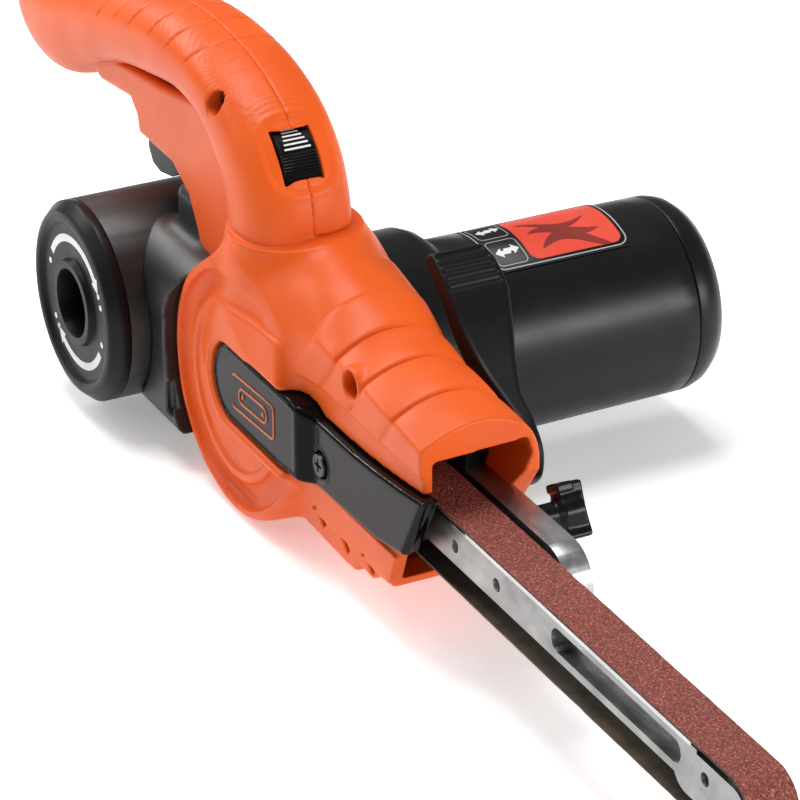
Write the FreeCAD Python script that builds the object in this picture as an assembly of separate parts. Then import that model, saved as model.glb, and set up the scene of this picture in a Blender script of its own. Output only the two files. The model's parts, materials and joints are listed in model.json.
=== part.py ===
import FreeCAD, Part
import math
import os

os.makedirs("parts", exist_ok=True)

V = FreeCAD.Vector

# ---------------------------------------------------------------------------
# Driving dimensions, millimetres. Working frame: the motor axis is the Y axis,
# the sanding belt's centre plane is Y = 0, +X points along the arm, +Z is up.
# ---------------------------------------------------------------------------
BELT_WIDTH = 13.0
BELT_THICK = 0.8
ROLLER_R = 8.75
BELT_GAP = 0.25
BELT_IN_R = ROLLER_R + BELT_GAP
BELT_OUT_R = BELT_IN_R + BELT_THICK
DRIVE_X = 42.0
IDLER_X = 240.0

DRUM_R = 36.0
DRUM_NEAR_Y = -18.0
DRUM_FAR_Y = 20.0
DRUM_WALL_Y = -12.0
DRUM_BORE_R = 33.0
WALL = 2.6

NOSE_NEAR_Y = -12.0
NOSE_FAR_Y = 21.4
NOSE_FRONT_X = 101.0
NOSE_FRONT_LOW_Z = 15.0
NOSE_CHIN_X = 90.9
NOSE_CHIN_RAKE = 0.36
NOSE_BOTTOM_Z = -26.0

COVER_PAD_X, COVER_PAD_Z, COVER_PAD_R = 1.6, 2.85, 11.5
COVER_LOW_EDGE = [(30.0, -8.6), (40.0, -7.9), (60.0, -7.4), (80.0, -6.8), (90.0, -5.2)]
COVER_FRONT_EDGE = [(95.0, -4.2), (106.0, 15.8)]
COVER_TOP_EDGE = [(94.0, 14.1), (80.0, 12.6), (67.0, 11.7), (46.0, 11.5), (41.0, 13.8),
                  (37.0, 14.35)]
COVER_REAR_FACE_Y = -18.6
COVER_FRONT_FACE_Y = -15.0
COVER_GAP = 0.35

HANDLE_Y = 1.0
HANDLE_WALL = 2.6
WEB_HALF = 10.0

MOTOR_R = 28.8
MOTOR_END_R = 28.0
MOTOR_BORE_R = 26.2
MOTOR_START_Y = 44.0
MOTOR_SEAM_Y = 112.0
MOTOR_END_Y = 122.0
GEARCASE_R = 34.0
GEARCASE_Y0 = 20.2
SHAFT_R = 4.0
SPINDLE_R = 3.5
RUN_GAP = 0.05

PLATE_Y0 = 8.2
PLATE_Y1 = 15.6
PLATE_Z = 10.0
PLATE_REAR_X = 62.5
PLATE_FRONT_X = 139.0

ARM_HALF_Y = 5.7
ARM_Z0 = -3.3
ARM_Z1 = 7.5
ARM_REAR_X = 72.0
ARM_FORK_X = 224.0
TRACK_PIVOT_X = 80.0

CAN_X = -74.0
CAN_Z = -2.6
CAN_R = 29.0
CAN_NEAR_Y = -33.0
CAN_FAR_Y = 38.0
OUTLET_R = 10.0

KNOB_X = 100.0
KNOB_Y0, KNOB_Y1 = 28.4, 34.4
KNOB_HALF_LENGTH = 7.4
KNOB_HALF_WIDTH = 3.8
KNOB_TILT = 60.0
LEVER_PIVOT = (86.0, 10.0)
DIAL_CENTRE = (-1.9, 62.0)
DIAL_R = 11.0
CORD_R = 3.6


# Handle form: sections given by an outer point, an inner point and half width
GRIP = [
    ((13.5, 40.0), (-15.0, 40.0), 16.0),
    ((13.6, 47.0), (-16.0, 46.0), 16.0),
    ((12.6, 57.0), (-19.5, 53.0), 15.8),
    ((6.5, 68.0), (-25.0, 60.5), 15.6),
    ((-8.0, 79.5), (-32.0, 65.0), 15.4),
    ((-30.0, 86.0), (-43.0, 66.0), 15.2),
    ((-57.0, 87.0), (-62.0, 64.5), 15.0),
    ((-80.0, 83.5), (-86.0, 60.0), 15.0),
    ((-103.0, 78.0), (-109.0, 50.0), 15.0),
    ((-125.0, 72.5), (-129.0, 42.0), 15.2),
    ((-145.0, 67.5), (-148.0, 44.0), 14.4),
    ((-158.0, 64.0), (-160.0, 48.0), 12.0),
    ((-166.0, 61.0), (-166.0, 51.5), 8.5),
]
GRIP_POWER = 2.5
GRIP_POINTS = 20

# Web below the grip, as an outline in XZ
WEB = [
    (-112.0, 60.0), (-88.0, 50.5), (-82.0, 42.0), (-57.0, 42.0), (-46.0, 36.0),
    (-43.0, 26.0), (-30.0, 18.0), (-8.0, 24.0), (-8.0, 58.0), (-31.0, 70.0), (-62.0, 74.0),
]

NEAR_SCREWS = [(-17.0, 76.0)]
FAR_SCREWS = [(-128.0, 56.0), (-88.0, 60.0), (-36.0, 40.0)]
HANDLE_SCREWS = NEAR_SCREWS + FAR_SCREWS
HANDLE_BOSS_R = 3.6
SCREW_R = 1.5
SCREW_HEAD_R = 2.9
HEAD_RECESS_Y = HANDLE_Y - 9.0
FAR_RECESS_Y = HANDLE_Y + 7.4
THREAD_DEPTH = 8.0

# Nose form: x, near edge z, crown z, far edge z
NOSE_STATIONS = [
    (-17.0, 30.0, 41.0, 37.0),
    (4.0, 31.0, 43.0, 40.0),
    (24.0, 31.0, 43.5, 41.0),
    (38.0, 31.0, 41.0, 38.0),
    (52.0, 31.0, 37.5, 30.0),
    (66.0, 30.5, 36.0, 26.5),
    (112.0, 26.0, 31.5, 23.5),
]
NOSE_CROWN_Y = 4.0
NOSE_SCREW = (61.8, 28.6)
PLATE_BOSSES = [(-22.0, 17.0), (-22.0, -17.0), (14.0, -25.0), (14.0, 25.0)]
PLATE_BOSS_R = 3.4
BEZEL_R = 18.5
VENT_SLOTS = [(50.0, -19.5), (59.0, -19.0), (68.0, -18.0)]
RIB_X = [52.0, 64.0, 76.0, 88.0]
GROOVE_OUT_R = 31.0
GROOVE_IN_R = 24.6
GROOVE_DEPTH = 2.2
COVER_POCKET_Y = -14.2
RIB_DEPTH = 0.7
RIB_HALF = 0.8
NOTCH_R = 4.2

COVER_SCREW_X = 49.0

PLATE2_Y0, PLATE2_Y1 = 9.5, 13.0
PULLEY_Y0, PULLEY_Y1 = 14.4, 19.6
MOTOR_PULLEY_R, DRIVEN_PULLEY_R = 8.0, 11.0
BRG_SPINDLE_R, BRG_MOTOR_R = 9.5, 11.0

LABEL_Y0, LABEL_Y1 = 56.0, 97.0
LABEL_A0, LABEL_A1 = 60.0, 112.0

TRIGGER_PIVOT = (-53.0, 46.5)

LEVER_Y0, LEVER_Y1 = 22.5, 40.4
LEVER_LOW_Y1 = 26.6


# ---------------------------------------------------------------------------
# Shape helpers
# ---------------------------------------------------------------------------
def box(x0, x1, y0, y1, z0, z1):
    return Part.makeBox(x1 - x0, y1 - y0, z1 - z0, V(x0, y0, z0))


def cyl_y(x, z, r, y0, y1):
    return Part.makeCylinder(r, y1 - y0, V(x, y0, z), V(0, 1, 0))


def cyl_x(y, z, r, x0, x1):
    return Part.makeCylinder(r, x1 - x0, V(x0, y, z), V(1, 0, 0))


def cyl_z(x, y, r, z0, z1):
    return Part.makeCylinder(r, z1 - z0, V(x, y, z0), V(0, 0, 1))


def tube_y(x, z, r_out, r_in, y0, y1):
    return cyl_y(x, z, r_out, y0, y1).cut(cyl_y(x, z, r_in, y0 - 1, y1 + 1))


def prism_xz(points, y0, y1):
    ring = [V(x, y0, z) for x, z in points]
    face = Part.Face(Part.makePolygon(ring + ring[:1]))
    return face.extrude(V(0, y1 - y0, 0))


def prism_xy(points, z0, z1):
    ring = [V(x, y, z0) for x, y in points]
    face = Part.Face(Part.makePolygon(ring + ring[:1]))
    return face.extrude(V(0, 0, z1 - z0))


def turn_y(profile, x=0.0, z=0.0):
    """Turn a closed (radius, y) outline about the line through (x, z) along Y."""
    ring = [V(x + r, y, z) for r, y in profile]
    face = Part.Face(Part.makePolygon(ring + ring[:1]))
    return face.revolve(V(x, 0, z), V(0, 1, 0), 360)


def join(shapes):
    solid = shapes[0].multiFuse(shapes[1:]) if len(shapes) > 1 else shapes[0]
    return solid.removeSplitter()


def stadium(x0, x1, z, r, y0, y1):
    """Slot-shaped block in XZ, between two rounded ends centred at x0 and x1."""
    top = [V(x0, y0, z + r), V(x1, y0, z + r)]
    low = [V(x1, y0, z - r), V(x0, y0, z - r)]
    wire = Part.Wire([
        Part.makeLine(top[0], top[1]),
        Part.Arc(top[1], V(x1 + r, y0, z), low[0]).toShape(),
        Part.makeLine(low[0], low[1]),
        Part.Arc(low[1], V(x0 - r, y0, z), top[0]).toShape(),
    ])
    return Part.Face(wire).extrude(V(0, y1 - y0, 0))


def two_circle_hull(x0, r0, x1, r1, y0, y1):
    """Belt-shaped hull in XZ around two circles on Z = 0."""
    span = x1 - x0
    tilt = math.acos((r0 - r1) / span)
    c, s = math.cos(tilt), math.sin(tilt)
    a_top = V(x0 + r0 * c, y0, r0 * s)
    b_top = V(x1 + r1 * c, y0, r1 * s)
    a_low = V(x0 + r0 * c, y0, -r0 * s)
    b_low = V(x1 + r1 * c, y0, -r1 * s)
    wire = Part.Wire([
        Part.makeLine(a_top, b_top),
        Part.Arc(b_top, V(x1 + r1, y0, 0), b_low).toShape(),
        Part.makeLine(b_low, a_low),
        Part.Arc(a_low, V(x0 - r0, y0, 0), a_top).toShape(),
    ])
    return Part.Face(wire).extrude(V(0, y1 - y0, 0))


def bearing(x, z, r_in, r_out, y0, y1):
    """Ball bearing drawn as two races and a shielded middle ring."""
    races = tube_y(x, z, r_out, r_in, y0, y1)
    groove_out = r_out - 1.2
    groove_in = r_in + 1.2
    depth = 0.4
    races = races.cut(tube_y(x, z, groove_out, groove_in, y0 - 1, y0 + depth))
    return races.cut(tube_y(x, z, groove_out, groove_in, y1 - depth, y1 + 1))


def screw_y(x, z, r, head_r, y_tip, y_head, head_h):
    """Screw along Y with its head at y_head; the tip may be on either side."""
    lo, hi = min(y_tip, y_head), max(y_tip, y_head)
    side = 1 if y_tip > y_head else -1
    head_lo = y_head - head_h if side > 0 else y_head
    head = cyl_y(x, z, head_r, head_lo, head_lo + head_h)
    recess_y = head_lo if side > 0 else head_lo + head_h - 1.2
    arm = head_r * 0.62
    cross = box(x - arm, x + arm, recess_y - 0.01, recess_y + 1.2, z - 0.4, z + 0.4)
    cross = cross.fuse(box(x - 0.4, x + 0.4, recess_y - 0.01, recess_y + 1.2, z - arm, z + arm))
    return cyl_y(x, z, r, lo, hi).fuse(head).cut(cross)


# ---------------------------------------------------------------------------
# Handle form: sections given by an outer point, an inner point and half width
# ---------------------------------------------------------------------------
def grip_section(outer, inner, half_width):
    mid_x = (outer[0] + inner[0]) / 2
    mid_z = (outer[1] + inner[1]) / 2
    axis_x = (outer[0] - inner[0]) / 2
    axis_z = (outer[1] - inner[1]) / 2
    points = []
    for i in range(GRIP_POINTS):
        angle = 2 * math.pi * i / GRIP_POINTS
        c, s = math.cos(angle), math.sin(angle)
        u = math.copysign(abs(c) ** (2 / GRIP_POWER), c)
        w = math.copysign(abs(s) ** (2 / GRIP_POWER), s)
        points.append(V(mid_x + axis_x * u, HANDLE_Y + half_width * w, mid_z + axis_z * u))
    curve = Part.BSplineCurve()
    curve.interpolate(points + points[:1])
    return Part.Wire([curve.toShape()])


def grip_solid(inset):
    wires = []
    for outer, inner, half_width in GRIP:
        dx, dz = outer[0] - inner[0], outer[1] - inner[1]
        length = math.hypot(dx, dz)
        ux, uz = dx / length * inset, dz / length * inset
        out = (outer[0] - ux, outer[1] - uz)
        inn = (inner[0] + ux, inner[1] + uz)
        wires.append(grip_section(out, inn, half_width - inset))
    if inset > 0:
        wires = wires[:-1]
    return Part.makeLoft(wires, True, False)


def web_solid(inset):
    if inset == 0:
        return prism_xz(WEB, HANDLE_Y - WEB_HALF, HANDLE_Y + WEB_HALF)
    inner = [
        (-104.0, 58.0), (-86.0, 53.0), (-79.5, 44.6), (-57.5, 44.6), (-48.0, 39.0),
        (-40.4, 30.0), (-10.0, 30.0), (-10.0, 58.0), (-30.0, 68.0), (-62.0, 72.0), (-98.0, 66.0),
    ]
    return prism_xz(inner, HANDLE_Y - WEB_HALF + inset, HANDLE_Y + WEB_HALF - inset)


def handle_outer():
    return grip_solid(0.0).fuse(web_solid(0.0))


def handle_inner():
    return grip_solid(HANDLE_WALL).fuse(web_solid(HANDLE_WALL))


# ---------------------------------------------------------------------------
# Housing: drum, nose and the two halves of the handle
# ---------------------------------------------------------------------------
def drum_outer():
    profile = [
        (0.0, DRUM_NEAR_Y), (DRUM_R - 3.6, DRUM_NEAR_Y), (DRUM_R - 1.9, DRUM_NEAR_Y + 0.5),
        (DRUM_R - 0.6, DRUM_NEAR_Y + 1.8), (DRUM_R, DRUM_NEAR_Y + 3.8),
        (DRUM_R + 1.0, DRUM_NEAR_Y + 12.0), (DRUM_R + 1.0, DRUM_FAR_Y), (0.0, DRUM_FAR_Y),
    ]
    return turn_y(profile)


def nose_section(x, near_z, crown_z, far_z, inset, bottom_z):
    y0 = NOSE_NEAR_Y + inset
    y1 = NOSE_FAR_Y - inset
    low_near = V(x, y0, bottom_z)
    top_near = V(x, y0, near_z - inset)
    crown = V(x, NOSE_CROWN_Y, crown_z - inset)
    top_far = V(x, y1, far_z - inset)
    low_far = V(x, y1, bottom_z)
    return Part.Wire([
        Part.makeLine(low_near, top_near),
        Part.Arc(top_near, crown, top_far).toShape(),
        Part.makeLine(top_far, low_far),
        Part.makeLine(low_far, low_near),
    ])


def nose_solid(inset, bottom_z, stations):
    wires = [nose_section(*station, inset, bottom_z) for station in stations]
    return Part.makeLoft(wires, True, True)


def nose_front_cut():
    """Space in front of the nose: upright above the cover, falling back below it."""
    top_z, low_z = 70.0, -60.0
    x_low = NOSE_CHIN_X + NOSE_CHIN_RAKE * low_z
    return prism_xz([(NOSE_FRONT_X, top_z), (200.0, top_z), (200.0, low_z), (x_low, low_z),
                     (NOSE_CHIN_X, 0.0), (NOSE_FRONT_X, NOSE_FRONT_LOW_Z)], -60.0, 60.0)


def cover_outline(grow):
    """Points of the belt cover's outline in XZ, from the rear arc forward."""
    points = []
    steps = 16
    radius = COVER_PAD_R + grow
    for i in range(steps + 1):
        angle = math.pi / 2 + math.pi * i / steps
        points.append((COVER_PAD_X + radius * math.cos(angle), COVER_PAD_Z + radius * math.sin(angle)))
    points += [(x, z - grow) for x, z in COVER_LOW_EDGE]
    low, high = COVER_FRONT_EDGE
    points += [(low[0] + grow, low[1] - grow), (high[0] + grow, high[1] + grow)]
    points += [(x, z + grow) for x, z in COVER_TOP_EDGE]
    return points


def cover_prism(grow, y0, y1):
    return prism_xz(cover_outline(grow), y0, y1)


def shell_body():
    """Drum and nose as one thin shell, still without the handle."""
    outer = join([drum_outer(), nose_solid(0.0, NOSE_BOTTOM_Z, NOSE_STATIONS)])
    outer = outer.cut(nose_front_cut())
    outer = outer.cut(two_circle_hull(0.0, DRUM_R + 1.2, DRIVE_X, 15.8, DRUM_FAR_Y + 0.1, 60))
    bezel = two_circle_hull(0.0, BEZEL_R, 38.0, BEZEL_R - 1.0, COVER_REAR_FACE_Y - 0.9, -12.0)
    outer = outer.fuse(bezel)
    inner_drum = cyl_y(0, 0, DRUM_BORE_R, DRUM_WALL_Y, 60)
    inner_nose = nose_solid(WALL, NOSE_BOTTOM_Z + WALL, NOSE_STATIONS)
    outer = outer.cut(inner_drum).cut(inner_nose)
    # the transmission side is open up to the gearcase flange
    outer = outer.cut(two_circle_hull(0.0, DRUM_BORE_R, DRIVE_X, 15.5, DRUM_FAR_Y - 6, 60))
    return outer


def housing_right():
    shell = shell_body()
    near_half = box(-300, 300, -100, HANDLE_Y, -100, 300)
    handle = handle_outer().common(near_half)
    handle = handle.cut(handle_inner())
    handle = handle.cut(drum_outer()).cut(nose_solid(0.0, NOSE_BOTTOM_Z, NOSE_STATIONS))
    body = join([shell, handle])
    # ring groove and fine rings on the drum's near face
    ring = tube_y(0, 0, GROOVE_OUT_R, GROOVE_IN_R, DRUM_NEAR_Y - 1, DRUM_NEAR_Y + GROOVE_DEPTH)
    body = body.cut(ring.cut(two_circle_hull(0.0, BEZEL_R, 38.0, BEZEL_R - 1.0, -30, 0)))
    # pocket and side opening under the belt cover
    body = body.cut(cover_prism(COVER_GAP, -30, COVER_POCKET_Y))
    opening = cover_prism(COVER_GAP, -30, DRUM_WALL_Y + 3.0).common(box(20, 200, -40, 0, -40, 40))
    body = body.cut(opening)
    # vent slots in the lower flange
    for x, z in VENT_SLOTS:
        slot = box(x - 1.2, x + 1.2, -20, -5, z - 2.6, z + 2.6)
        slot.rotate(V(x, 0, z), V(0, 1, 0), 30)
        body = body.cut(slot)
    # rib grooves over the nose
    for x in RIB_X:
        groove = nose_solid(-2.0, 6.0, NOSE_STATIONS).cut(nose_solid(RIB_DEPTH, 0.0, NOSE_STATIONS))
        band = box(x - RIB_HALF, x + RIB_HALF, -40, 40, 10, 60)
        body = body.cut(groove.common(band))
    # bosses for the bearing plate and the housing screws
    bosses = []
    for x, z in PLATE_BOSSES:
        bosses.append(tube_y(x, z, PLATE_BOSS_R, SCREW_R + 0.1, DRUM_WALL_Y - 0.5, 9.5))
    for x, z in HANDLE_SCREWS:
        bosses.append(cyl_y(x, z, HANDLE_BOSS_R, HANDLE_Y - 17.0, HANDLE_Y))
    clip = handle_outer().common(near_half).fuse(drum_outer())
    body = body.fuse(join(bosses).common(clip))
    for x, z in NEAR_SCREWS:
        body = body.cut(cyl_y(x, z, SCREW_R + 0.15, -30, HANDLE_Y + 1))
        body = body.cut(cyl_y(x, z, SCREW_HEAD_R + 0.3, -30, HEAD_RECESS_Y))
    for x, z in FAR_SCREWS:
        body = body.cut(cyl_y(x, z, SCREW_R, HANDLE_Y - THREAD_DEPTH - 1, HANDLE_Y + 1))
    # recessed screw hole in the nose's near shoulder
    nx, nz = NOSE_SCREW
    body = body.cut(cyl_y(nx, nz, SCREW_HEAD_R, -30, -8.0))
    body = body.cut(dial_slot()).cut(trigger_slot()).cut(gland_hole())
    body = body.cut(duct_port()).cut(knob_notch())
    return body.removeSplitter()


def housing_left():
    far_half = box(-300, 300, HANDLE_Y, 100, -100, 300)
    handle = handle_outer().common(far_half)
    handle = handle.cut(handle_inner())
    handle = handle.cut(drum_outer()).cut(nose_solid(0.0, NOSE_BOTTOM_Z, NOSE_STATIONS))
    bosses = [cyl_y(x, z, HANDLE_BOSS_R, HANDLE_Y, HANDLE_Y + 17.0) for x, z in HANDLE_SCREWS]
    handle = handle.fuse(join(bosses).common(handle_outer().common(far_half)))
    for x, z in NEAR_SCREWS:
        handle = handle.cut(cyl_y(x, z, SCREW_R, HANDLE_Y - 1, HANDLE_Y + THREAD_DEPTH + 1))
    for x, z in FAR_SCREWS:
        handle = handle.cut(cyl_y(x, z, SCREW_R + 0.15, HANDLE_Y - 1, 40))
        handle = handle.cut(cyl_y(x, z, SCREW_HEAD_R + 0.3, FAR_RECESS_Y, 40))
    handle = handle.cut(dial_slot()).cut(trigger_slot()).cut(gland_hole())
    return handle.removeSplitter()


def dial_slot():
    x, z = DIAL_CENTRE
    return cyl_y(x, z, DIAL_R + 0.6, -4.2, 5.2)


def trigger_slot():
    return box(-80.0, -50.5, HANDLE_Y - 7.2, HANDLE_Y + 7.2, 30.0, 48.0)


def gland_hole():
    return cyl_x(HANDLE_Y, 56.0, 5.6, -175.0, -150.0)


def duct_port():
    return box(-45.0, -28.0, -10.0, 10.0, -16.0, 10.0)


def knob_notch():
    """Slot in the nose's far wall that the knob's stem slides back into with the arm."""
    return stadium(KNOB_X - 7.0, 130.0, 0.0, NOTCH_R, NOSE_FAR_Y - WALL - 1, NOSE_FAR_Y + 1)


def housing_screws():
    screws = []
    for x, z in NEAR_SCREWS:
        tip = HANDLE_Y + THREAD_DEPTH
        screws.append(screw_y(x, z, SCREW_R - 0.05, SCREW_HEAD_R, tip, HEAD_RECESS_Y, 2.0))
    for x, z in FAR_SCREWS:
        tip = HANDLE_Y - THREAD_DEPTH
        screws.append(screw_y(x, z, SCREW_R - 0.05, SCREW_HEAD_R, tip, FAR_RECESS_Y, 2.0))
    return Part.makeCompound(screws)


def plate_screws():
    screws = []
    for x, z in PLATE_BOSSES:
        screws.append(screw_y(x, z, SCREW_R, SCREW_HEAD_R, -8.0, 13.0, 1.6))
    return Part.makeCompound(screws)


# ---------------------------------------------------------------------------
# Belt cover
# ---------------------------------------------------------------------------
def belt_cover():
    rear = cover_prism(0.0, COVER_REAR_FACE_Y, -14.4).common(box(-40, 41.5, -40, 0, -40, 40))
    slope = prism_xy([(41.5, COVER_REAR_FACE_Y), (46.0, COVER_FRONT_FACE_Y),
                      (46.0, -12.4), (41.5, -12.4)], -40, 40)
    slope = slope.common(cover_prism(0.0, -30, 0))
    front = cover_prism(0.0, COVER_FRONT_FACE_Y, -12.4).common(box(46, 200, -40, 0, -40, 40))
    skirt = cover_prism(-0.3, -12.4, -9.9).cut(cover_prism(-2.4, -13, 0))
    skirt = skirt.common(box(24, 200, -40, 0, -40, 40))
    inner_step = cover_prism(0.0, -14.4, -12.4).common(box(22, 41.5, -40, 0, -40, 40))
    cover = join([rear, slope, front, skirt, inner_step])
    cover = cover.cut(cyl_y(COVER_SCREW_X, 0, 3.4, -30, COVER_FRONT_FACE_Y + 0.9))
    return cover.cut(cyl_y(COVER_SCREW_X, 0, 1.7, -30, 0)).removeSplitter()


def cover_screw():
    return screw_y(COVER_SCREW_X, 0, 1.6, 3.1, -10.5, COVER_FRONT_FACE_Y + 0.9, 1.8)


def cover_badge():
    plate = box(2.2, 28.4, COVER_REAR_FACE_Y - 0.35, COVER_REAR_FACE_Y, -2.9, 7.5)
    edges = [e for e in plate.Edges if abs(e.tangentAt(e.FirstParameter).y) > 0.9]
    return plate.makeFillet(2.0, edges)


# ---------------------------------------------------------------------------
# Transmission and motor
# ---------------------------------------------------------------------------
def bearing_plate():
    plate = two_circle_hull(0.0, 30.0, DRIVE_X, 11.0, PLATE2_Y0, PLATE2_Y1)
    plate = plate.common(join([cyl_y(0, 0, DRUM_BORE_R - 0.3, 0, 30), box(0, 60, 0, 30, -22, 22)]))
    plate = plate.cut(cyl_y(DRIVE_X, 0, BRG_SPINDLE_R - 1.5, 0, 30))
    plate = plate.cut(cyl_y(0, 0, 7.0, 0, 30))
    for x, z in PLATE_BOSSES:
        plate = plate.cut(cyl_y(x, z, SCREW_R + 0.1, 0, 30))
    return plate.removeSplitter()


def spindle_bearing_inner():
    return bearing(DRIVE_X, 0, SPINDLE_R + RUN_GAP, BRG_SPINDLE_R - 1.5, PLATE2_Y0, PLATE2_Y1)


def spindle_bearing_outer():
    return bearing(DRIVE_X, 0, SPINDLE_R + RUN_GAP, BRG_SPINDLE_R - 1.5, 24.0, 28.0)


def motor_bearing_front():
    return bearing(0, 0, SHAFT_R + RUN_GAP, BRG_MOTOR_R, 24.0, 30.0)


def motor_bearing_rear():
    return bearing(0, 0, SHAFT_R + RUN_GAP, BRG_MOTOR_R - 1.5, 108.0, 113.0)


def gearcase():
    flange = two_circle_hull(0.0, DRUM_R + 0.8, DRIVE_X, 15.4, GEARCASE_Y0, 22.0)
    core = turn_y([(0, 22.0), (GEARCASE_R, 22.0), (GEARCASE_R, 37.0), (GEARCASE_R - 1.2, 40.0),
                   (MOTOR_R + 0.6, MOTOR_START_Y), (0, MOTOR_START_Y)])
    lobe = two_circle_hull(0.0, 20.0, DRIVE_X, 11.5, 22.0, 30.0)
    case = join([flange, core, lobe])
    cavity = turn_y([(0, 32.4), (GEARCASE_R - 2.6, 32.4), (GEARCASE_R - 2.6, 37.0),
                     (MOTOR_BORE_R, 42.0), (MOTOR_BORE_R, 60.0), (0, 60.0)])
    case = case.cut(cavity)
    case = case.cut(cyl_y(0, 0, BRG_MOTOR_R, 24.0, 30.0)).cut(cyl_y(0, 0, 6.0, 0, 60))
    case = case.cut(cyl_y(DRIVE_X, 0, BRG_SPINDLE_R - 1.5, 24.0, 28.0))
    return case.cut(cyl_y(DRIVE_X, 0, 5.2, 0, 29.0)).removeSplitter()


def label_sector(r_out, r_in, y0, y1, a0, a1):
    steps = 12
    far = 60.0
    fan = [(0.0, 0.0)]
    for i in range(steps + 1):
        angle = math.radians(a0 + (a1 - a0) * i / steps)
        fan.append((far * math.cos(angle), far * math.sin(angle)))
    return tube_y(0, 0, r_out, r_in, y0, y1).common(prism_xz(fan, y0, y1))


def motor_housing():
    outer = turn_y([(0, MOTOR_START_Y), (MOTOR_R, MOTOR_START_Y), (MOTOR_END_R, MOTOR_SEAM_Y),
                    (0, MOTOR_SEAM_Y)])
    shell = outer.cut(cyl_y(0, 0, MOTOR_BORE_R, 0, 106.0))
    shell = shell.cut(cyl_y(0, 0, BRG_MOTOR_R - 1.5, 0, 200))
    recess = label_sector(40.0, 28.2, LABEL_Y0 - 0.4, LABEL_Y1 + 0.4, LABEL_A0 - 1, LABEL_A1 + 1)
    shell = shell.cut(recess)
    for x in (-14.0, 14.0):
        shell = shell.cut(box(x - 4.4, x + 4.4, 100, 120, -4.5, 4.5))
    return shell.removeSplitter()


def motor_label():
    return label_sector(28.7, 28.2, LABEL_Y0, LABEL_Y1, LABEL_A0, LABEL_A1)


def motor_end_cap():
    r = MOTOR_END_R
    cap = turn_y([(0, MOTOR_SEAM_Y + 0.3), (r, MOTOR_SEAM_Y + 0.3), (r - 0.1, MOTOR_SEAM_Y + 3.0),
                  (r - 1.0, MOTOR_SEAM_Y + 6.0), (r - 3.2, MOTOR_END_Y - 1.2), (r - 6.0, MOTOR_END_Y),
                  (0, MOTOR_END_Y)])
    cap = cap.cut(cyl_y(0, 0, r - 4.0, 0, MOTOR_END_Y - 3.0))
    for i in range(5):
        z = -12.0 + 6.0 * i
        half = math.sqrt(18.0 ** 2 - z ** 2)
        cap = cap.cut(box(-half, half, MOTOR_END_Y - 6, MOTOR_END_Y + 1, z - 1.1, z + 1.1))
    return cap.removeSplitter()


def armature_shaft():
    shaft = cyl_y(0, 0, SHAFT_R, 11.0, 114.5)
    return shaft


def armature_core():
    core = tube_y(0, 0, 14.0, SHAFT_R, 52.0, 82.0)
    slots = 12
    for i in range(slots):
        slot = box(10.5, 15.0, 51, 83, -0.9, 0.9)
        slot.rotate(V(0, 0, 0), V(0, 1, 0), 360.0 * i / slots)
        core = core.cut(slot)
    return core.removeSplitter()


def armature_windings():
    return join([tube_y(0, 0, 12.6, SHAFT_R, 46.5, 52.0), tube_y(0, 0, 12.6, SHAFT_R, 82.0, 87.0)])


def commutator():
    ring = tube_y(0, 0, 9.0, SHAFT_R, 90.0, 103.0)
    bars = 12
    for i in range(bars):
        slot = box(7.8, 10.0, 89, 104, -0.25, 0.25)
        slot.rotate(V(0, 0, 0), V(0, 1, 0), 360.0 * i / bars + 7.0)
        ring = ring.cut(slot)
    return ring.removeSplitter()


def stator_core():
    ring = tube_y(0, 0, MOTOR_BORE_R - 0.02, 14.6, 51.0, 83.0)
    for side in (-1, 1):
        gap = box(-15.5, 15.5, 50, 84, side * 16.8 - 2.6, side * 16.8 + 2.6)
        ring = ring.cut(gap)
    return ring.removeSplitter()


def field_coils():
    coils = []
    for side in (-1, 1):
        z = side * 16.8
        loop = box(-15.2, 15.2, 46.5, 87.5, z - 2.4, z + 2.4).cut(box(-12.0, 12.0, 51, 83, -30, 30))
        coils.append(loop)
    return Part.makeCompound(coils)


def motor_fan():
    disc = tube_y(0, 0, 24.0, SHAFT_R, 34.0, 35.6)
    hub = tube_y(0, 0, 7.0, SHAFT_R, 34.0, 42.0)
    blades = []
    count = 11
    for i in range(count):
        blade = box(6.5, 23.6, 35.0, 41.0, -0.7, 0.7)
        blade.rotate(V(6.5, 0, 0), V(0, 1, 0), 22)
        blade.rotate(V(0, 0, 0), V(0, 1, 0), 360.0 * i / count)
        blades.append(blade.common(cyl_y(0, 0, 23.8, 30, 45)))
    return join([disc, hub] + blades)


def motor_pulley():
    teeth = 16
    wheel = tube_y(0, 0, MOTOR_PULLEY_R, SHAFT_R, PULLEY_Y0, PULLEY_Y1)
    for i in range(teeth):
        angle = 2 * math.pi * i / teeth
        x, z = MOTOR_PULLEY_R * math.cos(angle), MOTOR_PULLEY_R * math.sin(angle)
        wheel = wheel.cut(cyl_y(x, z, 0.7, 10, 25))
    flange = tube_y(0, 0, MOTOR_PULLEY_R + 1.9, SHAFT_R, PULLEY_Y0 - 0.8, PULLEY_Y0)
    return join([wheel, flange])


def driven_pulley():
    teeth = 22
    wheel = tube_y(DRIVE_X, 0, DRIVEN_PULLEY_R, SPINDLE_R, PULLEY_Y0, PULLEY_Y1)
    for i in range(teeth):
        angle = 2 * math.pi * i / teeth
        x = DRIVE_X + DRIVEN_PULLEY_R * math.cos(angle)
        wheel = wheel.cut(cyl_y(x, DRIVEN_PULLEY_R * math.sin(angle), 0.7, 10, 25))
    return wheel.removeSplitter()


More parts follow.
